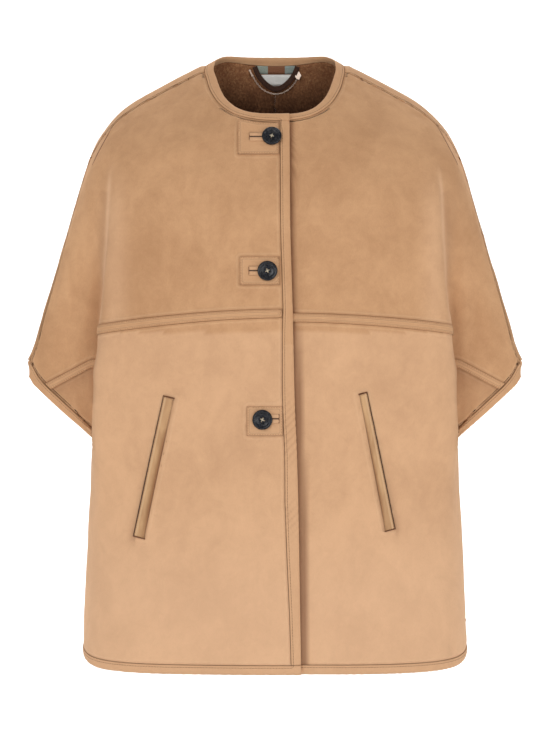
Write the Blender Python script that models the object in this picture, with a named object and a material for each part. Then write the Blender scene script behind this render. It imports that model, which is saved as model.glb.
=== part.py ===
"""A hip-length wool cape coat with batwing half sleeves, filled out as if worn, with no wearer inside.

The cloth is one surface, described by rows that run from the centre front round the side to the
centre back. Each row of the ROWS table is a section of that surface. The pieces that a maker would
cut are regions of the surface, each a wall of its own, with narrow gaps where they are sewn.

Metres, +Z up, the front faces -Y. The origin is between the shoulders, at the base of the neck.
Sizes below are in millimetres. Right and left are the wearer's: the right side is at -X.
"""

import math
from collections import namedtuple

import bmesh
import bpy
import numpy as np
from mathutils import Matrix, Vector
from mathutils.bvhtree import BVHTree

MM = 0.001

# Cloth
WALL = 3.4  # double-faced cloth: a suede face outside, a short wool pile inside
GAP = 0.3  # between any two pieces
SEAM = GAP / 2  # each panel stops this far short of its seam
TAPE_THICK = 1.3
TAPE_HALF = 6.0  # half the width of the tape over the chest seam
BINDING_WIDTH = 12.0
BINDING_THICK = 6.0
FULLNESS = 2.5  # exponent of the rounded sections: 2 is an ellipse, more is squarer
HEM_SQUARER = 0.8  # the hem's exponent is this much more

# Closure: the right front laps over the left
LAP_STEP = 3.5  # each front leaves the middle surface by this much where they lap
LAP_FULL = 38.0  # lapped this far from the centre line
LAP_FADE = 72.0  # and back on the middle surface from here on
UNDERLAP = 25.0  # reach of the left front under the right, past the centre line
LEFT_DROP = 5.0  # the left front hangs this much lower at the chest seam

# Sleeves
OPENING_SLOPE = 0.89  # the sleeves end on a plane through the wrist's ridge, which falls by this much
CAP = 26.0  # this much of the back, behind the ridge, follows the ridge in its own columns
CORNER_RISE = 8.0  # height of the cuff binding at the ridge
CORNER_GAIN = 2.0  # the cuff binding takes this much more of the cloth beside the ridge
ARMHOLE_WIDE, ARMHOLE_DEEP = 20.0, 4.0  # rounded lowest part of the sleeve opening, at the side seam

# One row of cloth each. front_z and back_z are its heights at the centres, the depths run from the
# ridge (the outermost line, at out_x, out_y, out_z) to the front and the back. fold is where the front
# turns back behind itself beside the arm, root is where the sleeve leaves the body behind that fold,
# and tuck says how much of that fold there is. seam is how far the shoulder seam lies before the ridge.
Row = namedtuple(
    "Row",
    "front_z back_z front_depth back_depth out_x out_y out_z "
    "fold_x fold_y fold_z root_x root_y root_z tuck seam",
)
ROWS = {
    "neck": Row(-53, 39, 95, 50, 78.7, 12, 28.6, 52, 60, -5, 52, 38, -5, 0, 20),
    "yoke": Row(-81, 6, 104, 72, 142, 9, -3, 105, 66, -40, 105, 38, -40, 0, 24),
    "shoulder": Row(-114, -37, 112, 93, 204.5, 5, -40.5, 165, 70, -82, 165, 37, -82, 0, 26),
    "apex": Row(-151, -96, 119, 107, 236, 1, -84.5, 209, 74, -120, 209, 36, -122, 0, 22),
    "upper_arm": Row(-187, -158, 124, 115, 255.3, -1, -148, 211, 75, -170, 210, 35, -180, 0.2, 17),
    "elbow": Row(-223, -213, 127, 119, 276, -2, -220, 214.5, 75, -229, 213, 35, -249, 0.5, 14),
    "forearm": Row(-258, -254, 129, 122, 299.5, -3, -297, 218.5, 75, -268, 216, 35, -297, 0.78, 13),
    "wrist": Row(-291, -290, 130.5, 124, 322, -4, -388, 222.8, 75, -306, 218.5, 35, -346, 0.96, 14),
    "chest_seam": Row(-306, -306, 131, 125, 320, -4, -420, 224.5, 75, -326, 219.5, 35, -366, 1, 14),
    "sleeve": Row(-360, -360, 133, 128, 318, -3, -446, 228, 75, -376, 223, 34, -407, 1, 14),
    "gusset": Row(-413, -413, 135, 130, 314, -1, -470, 231, 69, -427, 229, 26, -443, 1, 14),
    "underarm": Row(-447, -447, 136, 132, 236, 0, -466, 233, 62, -457, 235.2, 20, -465.4, 1, 14),
    "side": Row(-495, -495, 137, 134, 237.5, 0, -506, 230, 60, -500, 236, 25, -503, 0.55, 14),
    "hip": Row(-560, -560, 138.5, 136, 240.5, 0, -566, 227, 60, -563, 238, 30, -565, 0.12, 14),
    "thigh": Row(-640, -640, 140, 138, 244, 0, -640, 227, 65, -640, 240, 32, -640, 0, 14),
    "low": Row(-715, -715, 141, 140, 247, 0, -709, 229, 66, -712, 242, 32, -710, 0, 14),
    "hem": Row(-753, -753, 141, 140, 246, 0, -738.5, 229, 66, -750, 242, 32, -746, 0, 14),
}

# Reach of the right front edge past the centre line, by height
EdgeReach = namedtuple("EdgeReach", "z reach")
RIGHT_EDGE = [
    EdgeReach(-760, 32.4),
    EdgeReach(-550, 29.0),
    EdgeReach(-480, 27.4),
    EdgeReach(-430, 24.6),
    EdgeReach(-306, 22.0),
    EdgeReach(-200, 18.8),
    EdgeReach(-40, 18.2),
]

# What lies on the fronts: x to the wearer's left, z up
Patch = namedtuple("Patch", "x_outer x_inner z_top z_bottom")
PATCHES = [
    Patch(-46.6, 5.0, -67.5, -107.5),
    Patch(-43.5, 6.0, -236.5, -271.7),
    Patch(-34.9, 9.4, -421.8, -458.0),
]
Spot = namedtuple("Spot", "x z")
BUTTONS = [Spot(-4.0, -84.8), Spot(-9.3, -254.4), Spot(-15.5, -438.1)]
Welt = namedtuple("Welt", "top_x top_z bottom_x bottom_z width")
WELTS = {
    "right": Welt(-137.6, -409.3, -176.0, -584.2, 14.5),
    "left": Welt(113.4, -404.8, 148.6, -574.4, 12.5),
}
PATCH_THICK = 1.0
WELT_THICK = 2.4
BUTTON_RADIUS = 11.8
BUTTON_THICK = 4.6
BUTTON_HOLE = 1.1
BUTTON_HOLE_SPREAD = 2.3

# Inside the back neck
LABEL = Patch(-19.0, 24.5, 13.0, -1.0)
RIBBON = Patch(-26.0, 28.5, 24.0, 14.0)
LOOP_CENTRE, LOOP_HALF, LOOP_TOP, LOOP_BOTTOM = 1.5, 28.5, 23.5, -4.5  # a U of flat cord
LOOP_WIDTH, LOOP_THICK = 6.5, 1.4
CHAIN_ENDS = (Spot(-31.2, 12.5), Spot(33.8, 11.5))
CHAIN_BOTTOM = -11.5
CHAIN_RADIUS = 0.9
FITTING_WIDE, FITTING_TALL, FITTING_THICK = 4.4, 6.0, 5.6  # the blocks that hold the chain


# ---------------------------------------------------------------- the rows

TABLE = np.array(list(ROWS.values()), float)
COLUMN = {name: i for i, name in enumerate(Row._fields)}


def knots_of(table):
    """Distance down the cloth of each row: the mean of its way down the front and down the ridge."""
    front = np.abs(np.diff(table[:, COLUMN["front_z"]]))
    ridge = np.hypot(np.diff(table[:, COLUMN["out_x"]]), np.diff(table[:, COLUMN["out_z"]]))
    return np.concatenate([[0.0], np.cumsum((front + ridge) / 2)])


def monotone_slopes(knots, values):
    """Slopes at the knots for a cubic that never overshoots its rows."""
    step = np.diff(knots)[:, None]
    secant = np.diff(values, axis=0) / step
    slopes = np.zeros_like(values)
    slopes[0], slopes[-1] = secant[0], secant[-1]
    before, after = secant[:-1], secant[1:]
    same = before * after > 0
    total = np.where(same, before + after, 1.0)
    slopes[1:-1] = np.where(same, 2 * before * after / total, 0.0)
    return slopes


KNOTS = knots_of(TABLE)
SLOPES = monotone_slopes(KNOTS, TABLE)
DOWN = {name: KNOTS[i] for i, name in enumerate(ROWS)}  # v, the distance down the cloth, of each row


def rows_at(v):
    """The table's values at distances v down the cloth, as a Row of arrays."""
    v = np.clip(np.asarray(v, float), KNOTS[0], KNOTS[-1])
    i = np.clip(np.searchsorted(KNOTS, v, side="right") - 1, 0, len(KNOTS) - 2)
    length = (KNOTS[i + 1] - KNOTS[i])[:, None]
    t = (v - KNOTS[i])[:, None] / length
    values = (
        TABLE[i] * (1 + 2 * t) * (1 - t) ** 2
        + TABLE[i + 1] * t * t * (3 - 2 * t)
        + SLOPES[i] * length * t * (1 - t) ** 2
        + SLOPES[i + 1] * length * t * t * (t - 1)
    )
    return Row(*values.T)


def smooth_step(t):
    t = np.clip(t, 0.0, 1.0)
    return t * t * (3 - 2 * t)


def rounded(share, fullness=FULLNESS):
    """Height of a rounded section of unit size at this share of its half width."""
    return (1 - np.clip(np.abs(share), 0, 1) ** fullness) ** (1 / fullness)


def fullness_at(height):
    """The exponent of the plain sections. The hem is squarer than the rows above it."""
    return FULLNESS + HEM_SQUARER * smooth_step((-620 - height) / 120)


def blend(a, b, weight):
    return a + (b - a) * weight


# ---------------------------------------------------------------- the surface

PATH_STEPS = 72


def side_turn(cosine, height):
    """How far a row has gone from its height at the centre to that at the ridge. The hem stays level
    for longer than the rows above it."""
    return (1 - cosine) ** (1.2 + 1.3 * smooth_step((-650 - height) / 100))


def convex_point(row, x, depth, height, sign):
    """A point at x on the plain section, which closes in one curve from the centre to the ridge."""
    share = np.clip(np.abs(x) / row.out_x, 0, 1)
    fullness = fullness_at(height)
    level = rounded(share, fullness)
    y = row.out_y + sign * depth * level
    turn = side_turn(level ** (fullness / 2), height)
    z = height + (row.out_z - height) * turn
    return np.stack([x, y, z], axis=-1)


def folded_point(row, x, depth, height, sign):
    """A point at x on the section of the body alone, which turns back at the fold."""
    share = np.abs(x) / row.fold_x
    centre = row.out_y + sign * depth
    edge = sign * row.fold_y
    y = edge + (centre - edge) * rounded(share)
    z = height + (row.fold_z - height) * np.clip(share, 0, 1) ** 1.6
    return np.stack([x, y, z], axis=-1)


def body_point(row, x, back):
    depth, height, sign = (row.back_depth, row.back_z, 1) if back else (row.front_depth, row.front_z, -1)
    plain = convex_point(row, x, depth, height, sign)
    folded = folded_point(row, x, depth, height, sign)
    return blend(plain, folded, row.tuck[..., None])


def bezier(a, b, c, d, t):
    s = 1 - t
    return a * s**3 + 3 * b * s * s * t + 3 * c * s * t * t + d * t**3


def outer_paths(row, back):
    """Polylines from the fold to the ridge or the side seam, one for each row: (rows, steps, xyz)."""
    depth, height, sign = (row.back_depth, row.back_z, 1) if back else (row.front_depth, row.front_z, -1)
    wide = Row(*[values[:, None] for values in row])
    depth, height = depth[:, None], height[:, None]
    t = np.linspace(0, 1, PATH_STEPS)[None, :]
    fullness = fullness_at(height)
    start = np.arcsin(np.clip((wide.fold_x / wide.out_x) ** (fullness / 2), 0, 1))
    angle = start + (math.pi / 2 - start) * t
    level = np.clip(np.cos(angle), 0, 1) ** (2 / fullness)
    plain_x = wide.out_x * np.sin(angle) ** (2 / fullness)
    plain_y = wide.out_y + sign * depth * level
    plain_z = height + (wide.out_z - height) * side_turn(np.clip(np.cos(angle), 0, 1), height)
    plain = np.stack([plain_x, plain_y, plain_z], axis=-1)

    reach = wide.out_x - wide.root_x
    half = PATH_STEPS // 2
    into = np.linspace(0, 1, half)[None, :]
    turn = np.minimum(14.0, 0.25 * reach)
    fold_y, root_y = sign * wide.fold_y, sign * wide.root_y
    tuck_x = bezier(wide.fold_x, wide.fold_x, wide.root_x - turn, wide.root_x, into)
    tuck_y = bezier(fold_y, fold_y + 0.55 * (root_y - fold_y), root_y, root_y, into)
    tuck_z = blend(wide.fold_z, wide.root_z, smooth_step(into))
    along = np.linspace(0, math.pi / 2, PATH_STEPS - half + 1)[None, 1:]
    out_share = np.sin(along) ** (2 / 2.2)
    wing_x = wide.root_x + reach * out_share
    wing_y = wide.out_y + (root_y - wide.out_y) * np.clip(np.cos(along), 0, 1) ** (2 / 2.2)
    wing_z = blend(wide.root_z, wide.out_z, out_share)
    folded = np.stack(
        [
            np.concatenate([tuck_x, wing_x], axis=1),
            np.concatenate([tuck_y, wing_y], axis=1),
            np.concatenate([tuck_z, wing_z], axis=1),
        ],
        axis=-1,
    )
    return blend(even(plain), even(folded), wide.tuck[..., None])


def lengths_along(paths):
    steps = np.linalg.norm(np.diff(paths, axis=1), axis=-1)
    return np.concatenate([np.zeros((len(paths), 1)), np.cumsum(steps, axis=1)], axis=1)


def point_along(paths, length, distance):
    """The point of each polyline at a distance along it, past its end in a straight line."""
    i = (length[:, 1:-1] < distance[:, None]).sum(axis=1)
    r = np.arange(len(paths))
    t = (distance - length[r, i]) / np.maximum(length[r, i + 1] - length[r, i], 1e-9)
    return blend(paths[r, i], paths[r, i + 1], t[:, None])


def even(paths):
    """The same polylines with their points evenly spaced."""
    length = lengths_along(paths)
    shares = np.linspace(0, 1, PATH_STEPS)
    found = [point_along(paths, length, length[:, -1] * share) for share in shares]
    return np.stack(found, axis=1)


def past_opening(points):
    """How far points lie past the plane of the sleeve opening, through the wrist's ridge."""
    wrist = ROWS["wrist"]
    return OPENING_SLOPE * (points[..., 0] - wrist.out_x) - (points[..., 2] - wrist.out_z)


def cut_length(paths, length):
    """Distance along each path to the plane of the sleeve opening, or to its end."""
    over = past_opening(paths)
    crossed = over > 0
    i = np.where(crossed.any(axis=1), crossed.argmax(axis=1), paths.shape[1] - 1)
    i = np.maximum(i, 1)
    r = np.arange(len(paths))
    low, high = over[r, i - 1], over[r, i]
    t = np.where(high > 0, np.clip(-low / np.maximum(high - low, 1e-9), 0, 1), 1.0)
    return blend(length[r, i - 1], length[r, i], t)


CORNER_REACH = ROWS["wrist"].seam - SEAM  # along a row, from the ridge to the seam at the wrist
RIDGE_STRETCH = 1.43  # length of ridge for each unit of v above the wrist
NOTCH_WIDE = ARMHOLE_WIDE + BINDING_WIDTH
NOTCH_DEEP = ARMHOLE_DEEP + BINDING_WIDTH


def cuff_width(v):
    """Width of the cuff binding, measured along the row."""
    below = (v - DOWN["wrist"]) / (DOWN["chest_seam"] - DOWN["wrist"])
    return BINDING_WIDTH + CORNER_GAIN * (1 - np.clip(below, 0, 1))


def notch_share(v, deep):
    """How much of the opening's rounded lowest part is left at v: 1 at its top and 0 at its bottom."""
    down = np.clip((v - DOWN["underarm"]) / deep, 0, 1)
    return 1 - down**1.6


def panel_reach(v, row, paths, length, back):
    """How far past the fold a panel's cloth goes, to the shoulder seam, the cuff or the side seam."""
    whole = length[:, -1]
    seam = whole - (CAP if back else row.seam + SEAM)
    cuff = cut_length(paths, length) - cuff_width(v)
    notch = whole - np.maximum(NOTCH_WIDE * notch_share(v, NOTCH_DEEP), SEAM)
    reach = np.where(v > DOWN["wrist"], np.minimum(seam, cuff), seam)
    return np.where(v > DOWN["underarm"], notch, reach)


def level_of_cut(back, distance):
    """v where the opening's plane cuts the row at this distance before the ridge."""
    low = np.full(len(distance), DOWN["wrist"])
    high = low + 24.0
    for _ in range(24):
        middle = (low + high) / 2
        paths = outer_paths(rows_at(middle), back)
        length = lengths_along(paths)
        short = length[:, -1] - cut_length(paths, length) < distance
        low = np.where(short, middle, low)
        high = np.where(short, high, middle)
    return (low + high) / 2


def edge_reach(z, side):
    """How far past the centre line a front reaches."""
    if side > 0:
        return np.full_like(z, UNDERLAP)
    table = np.array(RIGHT_EDGE)
    return np.interp(z, table[:, 0], table[:, 1])


def lap(points, side):
    """Moves the points of a front off the middle surface where the fronts lap, and drops the left one."""
    x, z = points[..., 0], points[..., 2]
    weight = 1 - smooth_step((np.abs(x) - LAP_FULL) / (LAP_FADE - LAP_FULL))
    points[..., 1] += side * LAP_STEP * weight
    if side > 0:
        chest = ROWS["chest_seam"].front_z
        near = np.where(z > chest, smooth_step((-60 - z) / (-60 - chest)), smooth_step((z + 700) / (chest + 700)))
        points[..., 2] -= LEFT_DROP * near * np.clip(1 - np.abs(x) / 200, 0, 1)
    return points


def raw_point(side, back, column, v):
    """The surface at column and v. column 0 to 1 runs from the front edge, or the centre back, to the
    fold, 1 to 2 from there to the end of the panel, and 2 to 3, on the back, over the ridge to the
    shoulder seam. v is the distance down the cloth."""
    column, v = np.asarray(column, float).ravel(), np.asarray(v, float).ravel()
    row = rows_at(v)
    start = np.zeros_like(v) if back else -edge_reach(row.front_z, side)
    share = np.clip(column, -1, 1)
    x = blend(start, row.fold_x, share)
    points = body_point(row, x, back)
    paths = outer_paths(row, back)
    length = lengths_along(paths)
    reach = panel_reach(v, row, paths, length, back)
    outer = point_along(paths, length, reach * np.clip(column - 1, 0, None))
    if back:
        front_paths = outer_paths(row, False)
        front_length = lengths_along(front_paths)
        ahead = -CAP + (column - 2) * (CAP + row.seam - SEAM)
        behind_ridge = point_along(paths, length, length[:, -1] + ahead)
        before_ridge = point_along(front_paths, front_length, front_length[:, -1] - ahead)
        cap = np.where((ahead < 0)[:, None], behind_ridge, before_ridge)
        outer = np.where((column > 2)[:, None], cap, outer)
    points = np.where((column > 1)[:, None], outer, points)
    if not back:
        points = lap(points, side)
    points[:, 0] *= side
    return points


def surface(side, back, column, v):
    """Points of the cloth's outer face and its outward normals, for arrays of columns and v."""
    column, v = np.broadcast_arrays(np.asarray(column, float), np.asarray(v, float))
    shape = column.shape
    c, d = column.ravel(), v.ravel()
    h, k = 0.01, 1.0
    low = np.where(back & (c > 2), np.maximum(c - h, 2.0), c - h)
    high = np.where(back & (c <= 2), np.minimum(c + h, 2.0), c + h)
    across = raw_point(side, back, high, d) - raw_point(side, back, low, d)
    down = raw_point(side, back, c, d + k) - raw_point(side, back, c, d - k)
    normal = np.cross(down, across) * (-side if back else side)
    normal /= np.linalg.norm(normal, axis=1, keepdims=True)
    return raw_point(side, back, c, d).reshape(*shape, 3), normal.reshape(*shape, 3)


# ---------------------------------------------------------------- meshes

MATERIALS = {
    "suede": ((0.60, 0.36, 0.19), 0.92, 0.0),
    "suede_edge": ((0.56, 0.32, 0.17), 0.85, 0.0),
    "welt": ((0.48, 0.31, 0.14), 0.6, 0.0),
    "horn": ((0.02, 0.018, 0.02), 0.25, 0.0),
    "label": ((0.85, 0.82, 0.76), 0.7, 0.0),
    "ribbon": ((0.22, 0.26, 0.25), 0.7, 0.0),
    "loop": ((0.09, 0.045, 0.03), 0.7, 0.0),
    "metal": ((0.72, 0.58, 0.46), 0.3, 1.0),
}


def material(name):
    found = bpy.data.materials.get(name)
    if found:
        return found
    colour, roughness, metallic = MATERIALS[name]
    made = bpy.data.materials.new(name)
    made.use_nodes = True
    principled = made.node_tree.nodes["Principled BSDF"]
    principled.inputs["Base Color"].default_value = (*colour, 1)
    principled.inputs["Roughness"].default_value = roughness
    principled.inputs["Metallic"].default_value = metallic
    return made


def add_object(name, mesh_builder, slot):
    """Links a new object made from a bmesh in millimetres, with its faces pointing out."""
    bmesh.ops.recalc_face_normals(mesh_builder, faces=mesh_builder.faces)
    bmesh.ops.scale(mesh_builder, vec=(MM, MM, MM), verts=mesh_builder.verts)
    mesh = bpy.data.meshes.new(name)
    mesh_builder.to_mesh(mesh)
    mesh_builder.free()
    mesh.shade_smooth()
    mesh.set_sharp_from_angle(angle=math.radians(50))
    mesh.materials.append(material(slot))
    made = bpy.data.objects.new(name, mesh)
    bpy.context.scene.collection.objects.link(made)
    return made


def wall(name, outer, inner, slot, keep=None):
    """A closed wall between two grids of points. keep leaves out the cells where it is false."""
    rows, columns = outer.shape[:2]
    if keep is None:
        keep = np.ones((rows - 1, columns - 1), bool)
    mesh = bmesh.new()
    layers = []
    for points in (outer, inner):
        made = {}
        for r in range(rows):
            for c in range(columns):
                if keep[max(r - 1, 0) : r + 1, max(c - 1, 0) : c + 1].any():
                    made[r, c] = mesh.verts.new(points[r, c])
        for r in range(rows - 1):
            for c in range(columns - 1):
                if keep[r, c]:
                    mesh.faces.new([made[r, c], made[r, c + 1], made[r + 1, c + 1]])
                    mesh.faces.new([made[r, c], made[r + 1, c + 1], made[r + 1, c]])
        layers.append(made)
    top, bottom = layers
    keys = {vert: key for key, vert in top.items()}
    rim = [edge for edge in mesh.edges if len(edge.link_faces) == 1 and edge.verts[0] in keys]
    for edge in rim:
        a, b = sorted(keys[vert] for vert in edge.verts)
        mesh.faces.new([top[a], top[b], bottom[b]])
        mesh.faces.new([top[a], bottom[b], bottom[a]])
    return add_object(name, mesh, slot)


def tube(name, profiles, slot, closed=False):
    """A solid through closed profiles, each with the same number of points."""
    mesh = bmesh.new()
    loops = [[mesh.verts.new(point) for point in profile] for profile in profiles]
    count = len(loops[0])
    pairs = list(zip(loops, loops[1:]))
    if closed:
        pairs.append((loops[-1], loops[0]))
    for a, b in pairs:
        for i in range(count):
            j = (i + 1) % count
            mesh.faces.new([a[i], a[j], b[j]])
            mesh.faces.new([a[i], b[j], b[i]])
    if not closed:
        mesh.faces.new(loops[0])
        mesh.faces.new(loops[-1])
    return add_object(name, mesh, slot)


# ---------------------------------------------------------------- panels

BODY_COLUMNS = 9
OUTER_COLUMNS = 10
CAP_COLUMNS = 4
YOKE_ROWS = 11
SLEEVE_ROWS = 3
SKIRT_ROWS = 6
NOTCH_STEPS = (0.4, 0.7, 1.0)

Grid = namedtuple("Grid", "points normals columns levels")
GRIDS = {}


def columns_of(side, back, cap):
    """Columns of a panel. The body's are closer towards the fold. A front begins past its binding."""
    body = np.sin(np.linspace(0, math.pi / 2, BODY_COLUMNS + 1)) ** 0.8
    outer = 1 + np.linspace(0, 1, OUTER_COLUMNS + 1)[1:]
    over = 2 + np.linspace(0, 1, CAP_COLUMNS + 1)[1:] if cap else []
    return np.concatenate([body, outer, over])


def front_columns(side, columns, v):
    """The columns of a front at one v, begun at its front-edge binding."""
    row = rows_at(v)
    start = BINDING_WIDTH / (row.fold_x + edge_reach(row.front_z, side))
    return np.where(columns < 1, start + (1 - start) * columns, columns)


def inset_from_edge(side, back, columns, v_edge, direction):
    """v at each column, a binding's width of cloth away from the edge at v_edge."""
    here = raw_point(side, back, columns, np.full(len(columns), v_edge))
    near = raw_point(side, back, columns, np.full(len(columns), v_edge + direction * 4.0))
    stretch = np.linalg.norm(near - here, axis=1) / 4.0
    return v_edge + direction * BINDING_WIDTH / stretch


def corner_levels(back, columns):
    """v of the last row above the opening. On the back it dips round the cuff at the ridge."""
    wrist = DOWN["wrist"]
    if not back:
        return np.full(len(columns), wrist)
    ahead = -CAP + np.clip(columns - 2, 0, 1) * (CAP + CORNER_REACH)
    arc = np.sqrt(np.clip(1 - (ahead / CORNER_REACH) ** 2, 0, 1))
    cut = level_of_cut(True, np.maximum(-ahead - BINDING_WIDTH - CORNER_GAIN * 0.8, 0.01))
    return np.where(ahead < -CORNER_REACH, cut, wrist - CORNER_RISE / RIDGE_STRETCH * arc)


def yoke_levels(side, back, columns):
    """v of each grid point of a yoke: from the neck binding to the chest seam."""
    top = inset_from_edge(side, back, columns, 0.0, 1)
    corner = corner_levels(back, columns)
    seam = DOWN["chest_seam"]
    levels = [blend(top, corner, share) for share in np.linspace(0, 1, YOKE_ROWS + 1) ** 1.15]
    for level in ((DOWN["wrist"] + seam) / 2 - 2, seam - TAPE_HALF, seam - SEAM):
        levels.append(np.full(len(columns), level))
    return np.array(levels)


def skirt_levels(side, back, columns):
    """v of each grid point of a skirt: from the chest seam to the hem binding."""
    seam, under = DOWN["chest_seam"], DOWN["underarm"]
    sleeve = np.linspace(seam + TAPE_HALF, under, SLEEVE_ROWS + 1)[1:]
    notch = [under + NOTCH_DEEP * step for step in NOTCH_STEPS]
    levels = [np.full(len(columns), v) for v in (seam + SEAM, seam + TAPE_HALF, *sleeve, *notch)]
    bottom = inset_from_edge(side, back, columns, DOWN["hem"], -1)
    levels += [blend(levels[-1], bottom, share) for share in np.linspace(0, 1, SKIRT_ROWS + 1)[1:]]
    return np.array(levels)


def soften_underarm(normals):
    """Evens the normals of a skirt round the lowest part of the sleeve opening, where it turns sharply."""
    rows, columns = slice(3, 10), slice(BODY_COLUMNS, None)
    for _ in range(4):
        near = np.pad(normals[2:11, BODY_COLUMNS - 1 :], ((0, 0), (0, 1), (0, 0)), mode="edge")
        total = near[1:-1, 1:-1] * 2 + near[:-2, 1:-1] + near[2:, 1:-1] + near[1:-1, :-2] + near[1:-1, 2:]
        normals[rows, columns] = total / np.linalg.norm(total, axis=-1, keepdims=True)


def panel_grid(side, back, part):
    """Outer points and normals of one panel, or of one half of the back."""
    cap = back and part == "yoke"
    columns = columns_of(side, back, cap)
    levels = (yoke_levels if part == "yoke" else skirt_levels)(side, back, columns)
    shifted = np.broadcast_to(columns, levels.shape)
    if not back:
        shifted = np.array([front_columns(side, columns, v) for v in levels])
    if cap:
        levels[:, -1] = GRIDS[side, False, part].levels[:, -1]
    points, normals = surface(side, back, shifted, levels)
    if cap:
        normals[:, -1] = GRIDS[side, False, part].normals[:, -1]
    if part == "skirt":
        normals[0] = GRIDS[side, back, "yoke"].normals[-1, : normals.shape[1]]
        soften_underarm(normals)
    if not cap:  # squared to the side seam, so that front and back meet face to face
        below = levels[:, -1] > DOWN["underarm"] + NOTCH_DEEP * 0.9
        normals[below, -1, 1] = 0
        normals[below, -1] /= np.linalg.norm(normals[below, -1], axis=1, keepdims=True)
    return Grid(points, normals, shifted, levels)


def mirror_join(right, left):
    """Two halves of a back grid, each from the centre out, as one grid from right to left."""
    return np.concatenate([right[:, :0:-1], left], axis=1)


def make_panels():
    for hand, side in (("right", -1), ("left", 1)):
        for part in ("yoke", "skirt"):
            grid = panel_grid(side, False, part)
            GRIDS[side, False, part] = grid
            wall(f"{hand}_front_{part}", grid.points, grid.points - WALL * grid.normals, "suede")
    for hand, side in (("right", -1), ("left", 1)):
        for part in ("yoke", "skirt"):
            grid = panel_grid(side, True, part)
            GRIDS[side, True, part] = grid
            outer = grid.points.copy()
            inner = outer - WALL * grid.normals
            outer[:, 0, 0] = inner[:, 0, 0] = side * SEAM
            keep = np.ones((outer.shape[0] - 1, outer.shape[1] - 1), bool)
            if part == "yoke":
                keep[YOKE_ROWS:, -CAP_COLUMNS:] = False
            wall(f"{hand}_back_{part}", outer, inner, "suede", keep)


# ---------------------------------------------------------------- bindings and tapes

# Section of a binding: share of its width from the edge, and height over the cloth's outer face
BINDING_SECTION = [(1, 0.9), (0.72, 1.2), (0.2, 0.8), (0, -1.7), (0.2, -4.2), (0.72, -4.6), (1, -4.3)]


def binding_profile(edge, edge_normal, inset, inset_normal, gap=GAP):
    """The section of a binding between the cloth's edge and the edge of its panel."""
    width = np.linalg.norm(inset - edge)
    across = (inset - edge) / width
    square = edge_normal - across * np.dot(edge_normal, across)
    square /= np.linalg.norm(square)
    profile = []
    for share, height in BINDING_SECTION:
        at = min(share, 1 - gap / width)
        normal = blend(square, inset_normal, at)
        profile.append(edge + (inset - edge) * at + normal / np.linalg.norm(normal) * height)
    return profile


def profiles_between(edges, edge_normals, insets, inset_normals, gap=GAP):
    stations = zip(edges, edge_normals, insets, inset_normals)
    return [binding_profile(*station, gap) for station in stations]


def rim_profiles(side, back, row, v_edge, direction):
    """Profiles along the neck or the hem, from the front edge or the centre back outwards."""
    part = "yoke" if v_edge == 0.0 else "skirt"
    grid = GRIDS[side, back, part]
    columns, levels = grid.columns[row], grid.levels[row]
    if not back:
        columns = np.concatenate([[0.0], columns])
        levels = np.concatenate([inset_from_edge(side, back, columns[:1], v_edge, direction), levels])
    edge, edge_normal = surface(side, back, columns, np.full(len(columns), v_edge))
    inset, inset_normal = surface(side, back, columns, levels)
    inset[-len(grid.points[row]) :] = grid.points[row]
    inset_normal[-len(grid.points[row]) :] = grid.normals[row]
    return profiles_between(edge, edge_normal, inset, inset_normal)


def ring_profiles(row, v_edge, direction):
    """Profiles from the right front edge round the back to the left front edge."""
    parts = [rim_profiles(side, back, row, v_edge, direction) for side, back in ((-1, 0), (-1, 1), (1, 1), (1, 0))]
    right_front, right_back, left_back, left_front = parts
    return right_front + right_back[-2::-1] + left_back[1:-1] + left_front[::-1]


def front_edge_profiles(side):
    """Profiles down a front edge, between the neck and hem bindings."""
    yoke, skirt = GRIDS[side, False, "yoke"], GRIDS[side, False, "skirt"]
    levels = np.concatenate([yoke.levels[:-1, 0], skirt.levels[:, 0]])
    neck = inset_from_edge(side, False, np.zeros(1), 0.0, 1)[0]
    hem = inset_from_edge(side, False, np.zeros(1), DOWN["hem"], -1)[0]
    levels[0] = max(levels[0], neck) + GAP
    levels[-1] = min(levels[-1], hem) - GAP
    columns = front_columns(side, np.zeros(len(levels)), levels)
    edge, edge_normal = surface(side, False, np.zeros(len(levels)), levels)
    inset, inset_normal = surface(side, False, columns, levels)
    return profiles_between(edge, edge_normal, inset, inset_normal)


def opening_edge(side, back, levels, distances):
    """Points of the cloth at v and at a distance before the ridge or the side seam."""
    row = rows_at(levels)
    paths = outer_paths(row, back)
    length = lengths_along(paths)
    points = point_along(paths, length, length[:, -1] - distances)
    points[:, 0] *= side
    return points


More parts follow.
